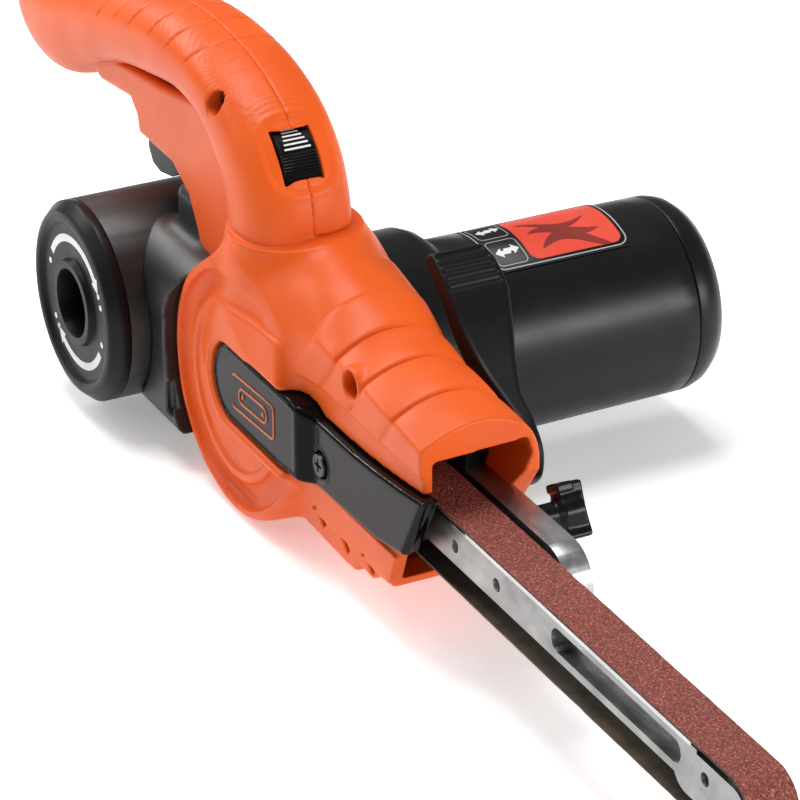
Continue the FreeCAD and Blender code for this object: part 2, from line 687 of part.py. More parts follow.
def timing_belt():
    gap, thick = 0.25, 1.2
    outer = two_circle_hull(0.0, MOTOR_PULLEY_R + gap + thick, DRIVE_X,
                            DRIVEN_PULLEY_R + gap + thick, PULLEY_Y0 + 0.3, PULLEY_Y1 - 0.3)
    inner = two_circle_hull(0.0, MOTOR_PULLEY_R + gap, DRIVE_X,
                            DRIVEN_PULLEY_R + gap, PULLEY_Y0 - 1, PULLEY_Y1 + 1)
    return outer.cut(inner)


def drive_spindle():
    return join([cyl_y(DRIVE_X, 0, SPINDLE_R, -7.8, 28.5), cyl_y(DRIVE_X, 0, SPINDLE_R + 1.4, 7.4, 8.6)])


def drive_roller():
    half = BELT_WIDTH / 2 + 0.6
    roller = turn_y([(SPINDLE_R, -half), (ROLLER_R - 0.5, -half), (ROLLER_R, -half + 1.0),
                     (ROLLER_R, half - 1.0), (ROLLER_R - 0.5, half), (SPINDLE_R, half)], DRIVE_X, 0)
    return roller


def carbon_brushes():
    brushes = []
    for side in (-1, 1):
        x0, x1 = sorted((side * 9.1, side * 20.0))
        brushes.append(box(x0, x1, 93.5, 99.5, -2.5, 2.5))
    return Part.makeCompound(brushes)


def brush_holders():
    holders = []
    for side in (-1, 1):
        x0, x1 = sorted((side * 10.5, side * (MOTOR_BORE_R - 0.6)))
        outer = box(x0, x1, 91.9, 101.1, -4.1, 4.1)
        holders.append(outer.cut(box(x0 - 20, x1 + 20, 93.5, 99.5, -2.5, 2.5)
                                 .common(box(-22, 22, 90, 103, -5, 5))))
    return Part.makeCompound(holders)


# ---------------------------------------------------------------------------
# Handle contents
# ---------------------------------------------------------------------------
def switch_body():
    return join([box(-81.0, -57.0, HANDLE_Y - 6.5, HANDLE_Y + 6.5, 54.0, 68.0),
                 box(-70.0, -64.0, HANDLE_Y - 3, HANDLE_Y + 3, 52.4, 54.5)])


def speed_module():
    return box(-9.0, 8.0, HANDLE_Y - 7.0, HANDLE_Y + 7.0, 44.0, 50.0)


def dial_axle():
    x, z = DIAL_CENTRE
    return cyl_y(x, z, 2.0, -10.4, 12.4)


def speed_dial():
    x, z = DIAL_CENTRE
    wheel = tube_y(x, z, DIAL_R, 2.0 + RUN_GAP, -3.6, 4.6)
    count = 40
    for i in range(count):
        angle = 2 * math.pi * i / count
        notch = cyl_y(x + DIAL_R * math.cos(angle), z + DIAL_R * math.sin(angle), 0.42, -5, 6)
        wheel = wheel.cut(notch)
    return wheel.removeSplitter()


def trigger():
    px, pz = TRIGGER_PIVOT
    outline = [(-78.6, 47.0), (-78.6, 38.0), (-76.0, 34.6), (-71.0, 33.6), (-63.0, 35.2),
               (-56.0, 39.5), (-51.2, 43.5), (-50.9, 47.0), (-56.0, 49.0), (-70.0, 49.4)]
    body = prism_xz(outline, HANDLE_Y - 6.7, HANDLE_Y + 6.7)
    body = body.cut(prism_xz([(-76.6, 52.0), (-76.6, 39.5), (-70.5, 36.5), (-60.0, 40.0),
                              (-58.0, 52.0)], HANDLE_Y - 4.7, HANDLE_Y + 4.7))
    return body.cut(cyl_y(px, pz, 1.2 + RUN_GAP, -20, 20)).removeSplitter()


def trigger_pin():
    px, pz = TRIGGER_PIVOT
    return cyl_y(px, pz, 1.2, HANDLE_Y - 7.4, HANDLE_Y + 7.4)


def cord_gland():
    z = 56.0
    sleeve = cyl_x(HANDLE_Y, z, 5.5, -174.0, -152.0)
    collar = cyl_x(HANDLE_Y, z, 7.4, -173.0, -167.6)
    gland = join([sleeve, collar, cyl_x(HANDLE_Y, z, 6.4, -155.0, -152.0)])
    return gland.cut(cyl_x(HANDLE_Y, z, CORD_R, -200.0, -100.0))


def cord_clamp():
    bar = box(-140.0, -134.0, HANDLE_Y - 9.0, HANDLE_Y + 9.0, 48.0, 51.5)
    return bar.fuse(box(-140.0, -134.0, HANDLE_Y - 9.0, HANDLE_Y - 6.0, 48.0, 60.0)).removeSplitter()


# ---------------------------------------------------------------------------
# Sanding arm and its carriage
# ---------------------------------------------------------------------------
def arm_carrier():
    r = PLATE_Z
    plate = stadium(PLATE_REAR_X + 4.0, PLATE_FRONT_X - r, 0.0, r, PLATE_Y0, PLATE_Y1)
    plate = plate.common(box(PLATE_REAR_X, 300, 0, 40, -20, 20))
    bracket = box(TRACK_PIVOT_X - 6.0, TRACK_PIVOT_X + 6.0, 5.9, PLATE_Y0 + 0.5, -7.0, -4.0)
    bracket = bracket.fuse(box(TRACK_PIVOT_X - 6.0, TRACK_PIVOT_X + 6.0, -4.5, 7.0, -7.0, -4.0))
    plate = join([plate, bracket])
    plate = plate.cut(cyl_z(TRACK_PIVOT_X, 0.0, 2.0, -12, 0))
    return plate.cut(cyl_y(KNOB_X, 0, 2.5 + RUN_GAP, 0, 40)).removeSplitter()


def tracking_pin():
    return cyl_z(TRACK_PIVOT_X, 0.0, 2.0, -7.0, 2.4)


def arm_body():
    bar = box(ARM_REAR_X, ARM_FORK_X, -ARM_HALF_Y, ARM_HALF_Y, ARM_Z0, ARM_Z1)
    cheek = stadium(ARM_FORK_X - 4, IDLER_X, 0.0, 6.4, -ARM_HALF_Y, ARM_HALF_Y)
    arm = join([bar, cheek])
    # long oval recess and holes on the near side
    arm = arm.cut(stadium(159.0, 214.0, 2.1, 3.2, -10, -1.6))
    arm = arm.cut(stadium(159.0, 214.0, 2.1, 3.2, 1.6, 10))
    for x in (106.0, 128.0, 228.0):
        arm = arm.cut(cyl_y(x, 1.8, 1.8, -10, 10))
    # fork gap for the idler roller
    gap = box(ARM_FORK_X + 4.0, 300, -4.5, 4.5, -30, 30).fuse(cyl_y(IDLER_X, 0, 9.6, -4.5, 4.5))
    arm = arm.cut(gap)
    arm = arm.cut(cyl_y(IDLER_X, 0, 2.5, -20, 20))
    return arm.cut(cyl_z(TRACK_PIVOT_X, 0.0, 2.0 + RUN_GAP, -12, 2.6)).removeSplitter()


def platen():
    return box(112.0, 222.0, -6.2, 6.2, ARM_Z1, ARM_Z1 + 1.2)


def idler_axle():
    return cyl_y(IDLER_X, 0, 2.5, -6.2, 6.2)


def idler_roller():
    half = 4.2
    roller = turn_y([(4.0, -half), (ROLLER_R - 0.3, -half), (ROLLER_R, 0.0), (ROLLER_R - 0.3, half),
                     (4.0, half)], IDLER_X, 0)
    return roller


def idler_bearing():
    return bearing(IDLER_X, 0, 2.5 + RUN_GAP, 4.0, -4.2, 4.2)


def sanding_belt():
    y = BELT_WIDTH / 2
    outer = stadium(DRIVE_X, IDLER_X, 0.0, BELT_OUT_R, -y, y)
    return outer.cut(stadium(DRIVE_X, IDLER_X, 0.0, BELT_IN_R, -y - 1, y + 1))


def carrier_guide():
    """Two plain rails that hold the carrier against the nose's far wall."""
    rails = []
    for side in (-1, 1):
        z0, z1 = sorted((side * (PLATE_Z + 0.05), side * (PLATE_Z + 3.4)))
        rails.append(box(66.0, 84.0, PLATE_Y0 + 0.6, NOSE_FAR_Y - WALL, z0, z1))
    return Part.makeCompound(rails)


# ---------------------------------------------------------------------------
# Tension lever and tracking knob
# ---------------------------------------------------------------------------
def tension_lever():
    outer = [(38.0, 50.0), (50.0, 40.4), (57.0, 33.6), (67.0, 28.0), (79.0, 24.4), (90.0, 21.4),
             (94.6, 16.0), (94.0, 9.0), (91.4, 4.4), (87.0, 2.4)]
    inner = [(82.6, 3.2), (78.6, 8.0), (72.0, 16.0), (62.0, 21.6), (52.0, 27.5), (44.0, 36.0),
             (34.0, 44.5)]
    strap = prism_xz(outer + inner, LEVER_Y0, LEVER_Y1)
    far_cut = prism_xy([(52.0, LEVER_Y1 + 0.1), (64.0, 34.4), (78.0, LEVER_LOW_Y1),
                        (110.0, LEVER_LOW_Y1), (110.0, 60.0), (52.0, 60.0)], -20, 80)
    strap = strap.cut(far_cut)
    ribs = []
    count = 6
    for i in range(count):
        t = i / (count - 1)
        ribs.append(cyl_y(39.0 + 9.6 * t, 49.3 - 7.8 * t, 1.0, LEVER_Y0 + 0.6, LEVER_Y1 - 0.6))
    lever = join([strap] + ribs)
    px, pz = LEVER_PIVOT
    return lever.cut(cyl_y(px, pz, 3.0 + RUN_GAP, 0, 60)).removeSplitter()


def lever_pin():
    px, pz = LEVER_PIVOT
    return join([cyl_y(px, pz, 3.0, NOSE_FAR_Y, LEVER_LOW_Y1 + 0.3),
                 cyl_y(px, pz, 4.0, LEVER_LOW_Y1 + 0.2, LEVER_LOW_Y1 + 1.2)])


def tracking_knob():
    stem = turn_y([(2.6, 17.2), (3.3, 17.2), (3.3, 28.0), (5.4, 29.6), (5.4, 31.0), (2.6, 31.0)],
                  KNOB_X, 0)
    wing = box(KNOB_X - KNOB_HALF_LENGTH, KNOB_X + KNOB_HALF_LENGTH, KNOB_Y0, KNOB_Y1,
               -KNOB_HALF_WIDTH, KNOB_HALF_WIDTH)
    edges = [e for e in wing.Edges if abs(e.tangentAt(e.FirstParameter).z) > 0.9]
    wing = wing.makeFillet(1.4, edges)
    wing.rotate(V(KNOB_X, 0, 0), V(0, 1, 0), KNOB_TILT)
    return join([stem, wing.cut(cyl_y(KNOB_X, 0, 2.6, 0, 35.0))])


def tracking_screw():
    return cyl_y(KNOB_X, 0, 2.5, 6.2, 33.4)


# ---------------------------------------------------------------------------
# Dust duct and canister
# ---------------------------------------------------------------------------
def dust_duct():
    block = box(-64.0, -24.0, -21.0, 16.0, -25.5, 24.5)
    tops = [e for e in block.Edges
            if abs(e.tangentAt(e.FirstParameter).x) > 0.9 and e.CenterOfMass.z > 0]
    near_top = min(tops, key=lambda e: e.CenterOfMass.y)
    far_top = max(tops, key=lambda e: e.CenterOfMass.y)
    block = block.makeFillet(15.0, [near_top]).makeFillet(8.0, [far_top])
    core = box(-66.0, -20.0, -12.0, 12.0, -18.0, 12.0)
    block = block.cut(core)
    block = block.cut(cyl_y(CAN_X, CAN_Z, CAN_R + 0.3, -60, 60))
    block = block.cut(cyl_y(0, 0, DRUM_R + 1.05, -60, 60))
    block = block.cut(web_solid(0.0)).cut(cyl_y(0, 0, GEARCASE_R + 3.0, 10, 60))
    return max(block.Solids, key=lambda s: s.Volume)


def canister_body():
    tube = cyl_y(CAN_X, CAN_Z, CAN_R, CAN_NEAR_Y + 6.0, CAN_FAR_Y)
    rim = max(tube.Edges, key=lambda e: e.CenterOfMass.y)
    tube = tube.makeFillet(2.5, [rim])
    tube = tube.cut(cyl_y(CAN_X, CAN_Z, CAN_R - 2.2, -60, CAN_FAR_Y - 2.4))
    port = box(CAN_X + 8.0, CAN_X + 40.0, -11.5, 11.5, -17.0, 11.0)
    return tube.cut(port).removeSplitter()


def canister_end_cap():
    r = CAN_R
    y = CAN_NEAR_Y
    cap = turn_y([(OUTLET_R, y), (OUTLET_R + 2.2, y), (OUTLET_R + 2.8, y + 1.6), (r - 6.5, y + 1.6),
                  (r - 5.5, y + 0.4), (r - 4.2, y), (r - 2.6, y + 0.4), (r, y + 3.4),
                  (r, y + 5.9), (r - 2.4, y + 5.9), (r - 2.4, y + 8.4), (r - 4.4, y + 8.4),
                  (r - 4.4, y + 4.2), (OUTLET_R + 2.0, y + 4.2), (OUTLET_R + 2.0, y + 12.0),
                  (OUTLET_R, y + 12.0)], CAN_X, CAN_Z)
    return cap


def cyclone_cone():
    y = CAN_NEAR_Y
    cone = turn_y([(OUTLET_R + 2.1, y + 4.4), (OUTLET_R + 3.6, y + 4.4), (OUTLET_R + 3.6, y + 16.0),
                   (6.5, 24.0), (5.0, 24.0), (OUTLET_R + 2.1, y + 16.0)], CAN_X, CAN_Z)
    return cone


def canister_seal():
    return tube_y(CAN_X, CAN_Z, CAN_R - 2.2, CAN_R - 4.4, CAN_NEAR_Y + 8.5, CAN_NEAR_Y + 10.5)


# ---------------------------------------------------------------------------
# Export
# ---------------------------------------------------------------------------
PARTS = {
    "housing_right": housing_right,
    "housing_left": housing_left,
    "housing_screws": housing_screws,
    "plate_screws": plate_screws,
    "belt_cover": belt_cover,
    "cover_screw": cover_screw,
    "cover_badge": cover_badge,
    "bearing_plate": bearing_plate,
    "spindle_bearing_inner": spindle_bearing_inner,
    "spindle_bearing_outer": spindle_bearing_outer,
    "motor_bearing_front": motor_bearing_front,
    "motor_bearing_rear": motor_bearing_rear,
    "gearcase": gearcase,
    "motor_housing": motor_housing,
    "motor_label": motor_label,
    "motor_end_cap": motor_end_cap,
    "stator_core": stator_core,
    "field_coils": field_coils,
    "carbon_brushes": carbon_brushes,
    "brush_holders": brush_holders,
    "armature_shaft": armature_shaft,
    "armature_core": armature_core,
    "armature_windings": armature_windings,
    "commutator": commutator,
    "motor_fan": motor_fan,
    "motor_pulley": motor_pulley,
    "driven_pulley": driven_pulley,
    "timing_belt": timing_belt,
    "drive_spindle": drive_spindle,
    "drive_roller": drive_roller,
    "switch_body": switch_body,
    "speed_module": speed_module,
    "dial_axle": dial_axle,
    "speed_dial": speed_dial,
    "trigger": trigger,
    "trigger_pin": trigger_pin,
    "cord_gland": cord_gland,
    "cord_clamp": cord_clamp,
    "arm_carrier": arm_carrier,
    "tracking_pin": tracking_pin,
    "arm_body": arm_body,
    "platen": platen,
    "idler_axle": idler_axle,
    "idler_bearing": idler_bearing,
    "idler_roller": idler_roller,
    "sanding_belt": sanding_belt,
    "carrier_guide": carrier_guide,
    "tension_lever": tension_lever,
    "lever_pin": lever_pin,
    "tracking_knob": tracking_knob,
    "tracking_screw": tracking_screw,
    "dust_duct": dust_duct,
    "canister_body": canister_body,
    "canister_end_cap": canister_end_cap,
    "cyclone_cone": cyclone_cone,
    "canister_seal": canister_seal,
}


def export_all():
    shapes = {name: build() for name, build in PARTS.items()}
    box_all = FreeCAD.BoundBox()
    for shape in shapes.values():
        box_all.add(shape.BoundBox)
    shift = V(-(box_all.XMin + box_all.XMax) / 2, -(box_all.YMin + box_all.YMax) / 2, -box_all.ZMin)
    print("shift", shift, "size", box_all.XLength, box_all.YLength, box_all.ZLength)
    for name, shape in shapes.items():
        placed = shape.copy()
        placed.translate(shift)
        print(name, len(placed.Solids), placed.isValid(), round(placed.Volume, 1))
        placed.exportStep("parts/" + name + ".step")


export_all()
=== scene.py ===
import json
import math

import bmesh
import bpy
import numpy as np
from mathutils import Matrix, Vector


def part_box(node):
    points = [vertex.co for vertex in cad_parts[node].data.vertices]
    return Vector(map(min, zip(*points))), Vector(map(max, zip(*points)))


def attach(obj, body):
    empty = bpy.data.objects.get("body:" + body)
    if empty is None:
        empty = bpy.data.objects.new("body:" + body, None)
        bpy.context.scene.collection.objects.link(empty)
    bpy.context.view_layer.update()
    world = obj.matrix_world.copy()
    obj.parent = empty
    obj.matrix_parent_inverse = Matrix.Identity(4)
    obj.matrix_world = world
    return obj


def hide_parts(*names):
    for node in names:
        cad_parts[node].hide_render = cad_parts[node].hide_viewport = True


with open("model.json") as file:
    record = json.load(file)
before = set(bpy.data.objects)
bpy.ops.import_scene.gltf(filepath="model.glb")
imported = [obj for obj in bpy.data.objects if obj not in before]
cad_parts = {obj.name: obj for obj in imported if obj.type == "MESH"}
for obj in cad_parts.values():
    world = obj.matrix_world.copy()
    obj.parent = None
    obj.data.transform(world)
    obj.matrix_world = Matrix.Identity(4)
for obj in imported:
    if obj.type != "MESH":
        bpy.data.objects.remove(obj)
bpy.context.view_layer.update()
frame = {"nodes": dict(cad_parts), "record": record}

import openvdb as vdb
from mathutils import Matrix, Vector

MM = 0.001
NODES = frame["nodes"]
RNG = np.random.default_rng(7)


def centre(node):
    """Middle of a CAD node's box, in metres."""
    lo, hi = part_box(node)
    return [(a + b) / 2 for a, b in zip(lo, hi)]


# Working frame, in millimetres: the motor axis is Y, the belt's middle plane is Y = 0, Z is up.
MOTOR = centre("armature_shaft")
ORIGIN = Vector((MOTOR[0], centre("sanding_belt")[1], MOTOR[2]))


def at(x, y, z):
    """A point of the working frame, in millimetres, as a point of the row frame in metres."""
    return ORIGIN + Vector((x, y, z)) * MM


# ---- Materials ----
class Shader:
    """Adds nodes to one material; keywords are node settings, or inputs with _ for a space."""

    def __init__(self, name):
        self.mat = bpy.data.materials.new(name)
        self.mat.use_nodes = True
        self.tree = self.mat.node_tree
        self.bsdf = self.tree.nodes["Principled BSDF"]

    def node(self, kind, **values):
        made = self.tree.nodes.new(kind)
        for key, value in values.items():
            if hasattr(made, key):
                setattr(made, key, value)
            else:
                made.inputs[key.replace("_", " ")].default_value = value
        return made

    def link(self, a, b):
        self.tree.links.new(a, b)

    def feed(self, name, socket):
        self.link(socket, self.bsdf.inputs[name])

    def set(self, **values):
        for key, value in values.items():
            self.bsdf.inputs[key.replace("_", " ")].default_value = value

    def coords(self, scale=(1, 1, 1)):
        where = self.node("ShaderNodeTexCoord")
        mapping = self.node("ShaderNodeMapping", Scale=scale)
        self.link(where.outputs["Object"], mapping.inputs["Vector"])
        return mapping.outputs["Vector"]

    def noise(self, scale, detail=4.0, rough=0.55, vector=None):
        made = self.node("ShaderNodeTexNoise", Scale=scale, Detail=detail, Roughness=rough)
        self.link(vector if vector is not None else self.coords(), made.inputs["Vector"])
        return made.outputs["Fac"]

    def ramp(self, fac, stops):
        made = self.node("ShaderNodeValToRGB")
        ramp = made.color_ramp
        while len(ramp.elements) < len(stops):
            ramp.elements.new(0.5)
        for element, (place, colour) in zip(ramp.elements, stops):
            element.position = place
            element.color = (*colour, 1)
        self.link(fac, made.inputs["Fac"])
        return made.outputs["Color"]

    def spread(self, fac, low, high, start=0.0, end=1.0):
        made = self.node("ShaderNodeMapRange", From_Min=start, From_Max=end,
                         To_Min=low, To_Max=high)
        self.link(fac, made.inputs["Value"])
        return made.outputs["Result"]

    def bump(self, height, strength, distance, after=None):
        made = self.node("ShaderNodeBump", Strength=strength, Distance=distance)
        self.link(height, made.inputs["Height"])
        if after is not None:
            self.link(after, made.inputs["Normal"])
        return made.outputs["Normal"]

    def mix(self, fac, a, b):
        made = self.node("ShaderNodeMix", data_type="RGBA")
        self.link(fac, made.inputs[0])
        self.link(a, made.inputs[6])
        self.link(b, made.inputs[7])
        return made.outputs[2]


def plastic(name, dark, light, rough, grain, bump, shine):
    """Moulded plastic or print: faint colour drift, fine grain and uneven gloss.

    dark and light bound the colour and rough bounds the roughness. grain is the fine bump's
    scale, bump is its strength, and shine is the specular level.
    """
    s = Shader(name)
    drift = s.noise(38.0, 3.0)
    s.feed("Base Color", s.ramp(drift, [(0.3, dark), (0.7, light)]))
    gloss = s.spread(s.noise(90.0, 6.0), *rough, 0.3, 0.7)
    s.feed("Roughness", gloss)
    fine = s.bump(s.noise(grain, 3.0), bump, 0.0001)
    wide = s.bump(s.noise(24.0, 2.0), 0.05, 0.002, fine)
    s.feed("Normal", wide)
    s.set(Specular_IOR_Level=shine)
    return s.mat


def metal(name, dark, light, rough, stretch, scale, bump):
    """Metal with streaks: stretch and scale set their direction and size, bump their depth."""
    s = Shader(name)
    streak = s.noise(scale, 5.0, 0.6, s.coords(stretch))
    cloud = s.noise(60.0, 4.0)
    both = s.mix(s.spread(cloud, 0.25, 0.75), s.ramp(streak, [(0.3, dark), (0.7, light)]),
                 s.ramp(cloud, [(0.35, dark), (0.65, light)]))
    s.feed("Base Color", both)
    s.set(Metallic=1.0)
    s.feed("Roughness", s.spread(streak, *rough, 0.3, 0.7))
    s.feed("Normal", s.bump(streak, bump, 0.0002))
    return s.mat


def grit_material():
    """Reddish-brown abrasive cloth: glued grains with bright and dark specks."""
    s = Shader("abrasive_grit")
    grains = s.node("ShaderNodeTexVoronoi", feature="F1", Scale=1500.0)
    s.link(s.coords(), grains.inputs["Vector"])
    fleck = s.noise(1500.0, 3.0, 0.75)
    base = s.ramp(fleck, [(0.36, (0.035, 0.008, 0.006)), (0.47, (0.19, 0.030, 0.020)),
                          (0.55, (0.27, 0.055, 0.036)), (0.68, (0.60, 0.27, 0.20))])
    patch = s.ramp(s.noise(420.0, 4.0, 0.7),
                   [(0.38, (0.09, 0.015, 0.011)), (0.62, (0.27, 0.06, 0.04))])
    share = s.spread(s.noise(300.0, 2.0), 0.1, 0.45)
    s.feed("Base Color", s.mix(share, base, patch))
    s.feed("Roughness", s.spread(fleck, 0.55, 0.95))
    rough = s.bump(grains.outputs["Distance"], 0.8, 0.0004)
    s.feed("Normal", s.bump(fleck, 0.7, 0.0003, rough))
    return s.mat


def cloth_back_material():
    """Brown woven backing of the belt."""
    s = Shader("belt_backing")
    waves = []
    for axis in ("X", "Y"):
        wave = s.node("ShaderNodeTexWave", wave_type="BANDS", bands_direction=axis,
                      Scale=700.0, Distortion=1.0)
        s.link(s.coords(), wave.inputs["Vector"])
        waves.append(wave.outputs["Fac"])
    weave = s.node("ShaderNodeMath", operation="MULTIPLY")
    s.link(waves[0], weave.inputs[0])
    s.link(waves[1], weave.inputs[1])
    colour = s.ramp(s.noise(160.0, 5.0),
                    [(0.3, (0.035, 0.022, 0.014)), (0.7, (0.085, 0.058, 0.038))])
    s.feed("Base Color", colour)
    s.feed("Roughness", s.spread(weave.outputs[0], 0.9, 0.7))
    s.feed("Normal", s.bump(weave.outputs[0], 0.5, 0.0002))
    return s.mat


ORANGE = plastic("orange_abs", (0.67, 0.087, 0.007), (0.75, 0.106, 0.010),
    rough=(0.38, 0.46), grain=1400.0, bump=0.06, shine=0.26)
BLACK = plastic("black_nylon", (0.0035, 0.0035, 0.004), (0.0065, 0.0065, 0.007),
    rough=(0.36, 0.46), grain=1300.0, bump=0.20, shine=0.16)
SATIN_BLACK = plastic("satin_black", (0.003, 0.003, 0.0035), (0.006, 0.006, 0.007),
    rough=(0.22, 0.30), grain=1500.0, bump=0.08, shine=0.2)
GLOSS_BLACK = plastic("gloss_black", (0.0020, 0.0020, 0.0024), (0.0035, 0.0035, 0.004),
    rough=(0.14, 0.20), grain=1500.0, bump=0.04, shine=0.09)
DUCT_BLACK = plastic("duct_black", (0.005, 0.005, 0.0055), (0.009, 0.009, 0.010),
    rough=(0.38, 0.46), grain=1100.0, bump=0.22, shine=0.5)
MOTOR_BLACK = plastic("motor_black", (0.0035, 0.0035, 0.004), (0.006, 0.006, 0.007),
    rough=(0.30, 0.38), grain=1500.0, bump=0.08, shine=0.24)
RUBBER = plastic("dark_rubber", (0.006, 0.006, 0.006), (0.012, 0.012, 0.011),
    rough=(0.55, 0.75), grain=700.0, bump=0.3, shine=0.15)
PRINT_RED = plastic("print_dark_red", (0.16, 0.014, 0.010), (0.26, 0.024, 0.016),
    rough=(0.4, 0.5), grain=900.0, bump=0.05, shine=0.3)
LABEL_RED = plastic("label_red", (0.62, 0.050, 0.026), (0.70, 0.075, 0.042),
    rough=(0.32, 0.45), grain=900.0, bump=0.04, shine=0.3)
PRINT_WHITE = plastic("print_white", (0.62, 0.62, 0.60), (0.78, 0.78, 0.76),
    rough=(0.4, 0.55), grain=900.0, bump=0.05, shine=0.3)
PRINT_GREY = plastic("print_grey", (0.28, 0.28, 0.28), (0.40, 0.40, 0.39),
    rough=(0.4, 0.55), grain=900.0, bump=0.05, shine=0.3)
PRINT_ORANGE = plastic("print_orange", (0.40, 0.085, 0.022), (0.50, 0.12, 0.035),
    rough=(0.35, 0.5), grain=900.0, bump=0.05, shine=0.3)
ALUMINIUM = metal("cast_aluminium", (0.16, 0.165, 0.165), (0.42, 0.425, 0.42),
    rough=(0.30, 0.50), stretch=(0.5, 1, 1), scale=260.0, bump=0.25)
PLATED = metal("plated_steel", (0.34, 0.35, 0.36), (0.50, 0.51, 0.52),
    rough=(0.30, 0.42), stretch=(0.3, 1, 1), scale=500.0, bump=0.05)
STEEL = metal("turned_steel", (0.42, 0.42, 0.43), (0.62, 0.62, 0.63),
    rough=(0.2, 0.34), stretch=(1, 6, 1), scale=600.0, bump=0.05)
SCREW = metal("black_screw", (0.045, 0.045, 0.05), (0.11, 0.11, 0.12),
    rough=(0.3, 0.5), stretch=(1, 1, 1), scale=500.0, bump=0.08)
COPPER = metal("copper_wire", (0.50, 0.20, 0.09), (0.72, 0.34, 0.17),
    rough=(0.25, 0.42), stretch=(1, 8, 1), scale=900.0, bump=0.3)
IRON = metal("laminated_iron", (0.16, 0.16, 0.17), (0.30, 0.30, 0.31),
    rough=(0.35, 0.55), stretch=(1, 9, 1), scale=800.0, bump=0.3)
GRIT = grit_material()
BACKING = cloth_back_material()

SLOT_MATERIAL = {
    "orange": ORANGE, "black_plastic": BLACK, "gloss_black": SATIN_BLACK, "label": LABEL_RED,
    "steel": STEEL, "screw": SCREW, "aluminium": ALUMINIUM, "copper": COPPER, "iron": IRON,
    "rubber": RUBBER, "abrasive": GRIT,
}


# ---- Mesh helpers ----
SHARP_ANGLE = math.radians(40.0)
BEVEL_ANGLE = math.radians(32.0)
WELD_METRES = 2e-6


def add_object(name, mesh, materials, body):
    """Links a piece that rides on a body, with one or more materials."""
    obj = bpy.data.objects.new(name, mesh)
    bpy.context.collection.objects.link(obj)
    for material in materials:
        mesh.materials.append(material)
    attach(obj, body)
    return obj


def mesh_from(name, points, faces):
    """Mesh from points in working millimetres."""
    mesh = bpy.data.meshes.new(name)
    mesh.from_pydata([tuple(at(*p)) for p in points], [], faces)
    mesh.update()
    return mesh


def smooth_by_angle(obj):
    """Smooth shading, except across edges sharper than SHARP_ANGLE."""
    mesh = obj.data
    mesh.polygons.foreach_set("use_smooth", [True] * len(mesh.polygons))
    mesh.set_sharp_from_angle(angle=SHARP_ANGLE)


def quads_mesh(name, points, quads):
    """Smooth mesh from arrays of points, in metres, and four-sided faces."""
    mesh = bpy.data.meshes.new(name)
    mesh.vertices.add(len(points))
    mesh.vertices.foreach_set("co", points.astype(np.float32).ravel())
    mesh.loops.add(quads.size)
    mesh.loops.foreach_set("vertex_index", quads.astype(np.int32).ravel())
    mesh.polygons.add(len(quads))
    mesh.polygons.foreach_set("loop_start", np.arange(0, quads.size, 4, dtype=np.int32))
    mesh.polygons.foreach_set("use_smooth", np.ones(len(quads), dtype=bool))
    mesh.update(calc_edges=True)
    mesh.validate()
    return mesh


def field_mesh(name, field, axes, step):
    """Surface of a signed distance field that was sampled on three axes."""
    band = 3 * step
    grid = vdb.FloatGrid(band)
    grid.copyFromArray(np.clip(field, -band, band).astype(np.float32))
    points, quads = grid.convertToQuads(0.0)
    low = np.array([axis[0] for axis in axes])
    points = (points * step + low) * MM + np.array(ORIGIN)
    return quads_mesh(name, points, quads[:, ::-1])


def refine(obj, width, segments):
    """Rounds the crisp CAD edges of a node with modifiers only; width is in millimetres."""
    weld = obj.modifiers.new("weld", "WELD")
    weld.merge_threshold = WELD_METRES
    bevel = obj.modifiers.new("edge_round", "BEVEL")
    bevel.width = width * MM
    bevel.segments = segments
    bevel.limit_method = "ANGLE"
    bevel.angle_limit = BEVEL_ANGLE
    bevel.harden_normals = True
    bevel.use_clamp_overlap = True


# ---- Signed distance fields of the housing, in working millimetres; negative is inside ----
STEP = 0.5


def smooth_min(a, b, k):
    """Union of two fields with a fillet of about k."""
    h = np.clip(0.5 + 0.5 * (b - a) / k, 0.0, 1.0)
    return b + (a - b) * h - k * h * (1.0 - h)


def smooth_max(a, b, k):
    """Intersection of two fields with a rounded edge of about k."""
    return -smooth_min(-a, -b, k)


def polygon_distance(points, x, z):
    """Signed distance in the XZ plane to a closed outline."""
    best = np.full(np.broadcast(x, z).shape, 1e9, dtype=np.float32)
    inside = np.zeros(best.shape, dtype=bool)
    count = len(points)
    for i in range(count):
        x0, z0 = points[i]
        x1, z1 = points[(i + 1) % count]
        dx, dz = x1 - x0, z1 - z0
        t = np.clip(((x - x0) * dx + (z - z0) * dz) / (dx * dx + dz * dz), 0, 1)
        best = np.minimum(best, np.hypot(x - x0 - t * dx, z - z0 - t * dz))
        crosses = (z0 > z) != (z1 > z)
        if dz != 0:
            inside ^= crosses & (x < (x1 - x0) * (z - z0) / dz + x0)
    return np.where(inside, -best, best)


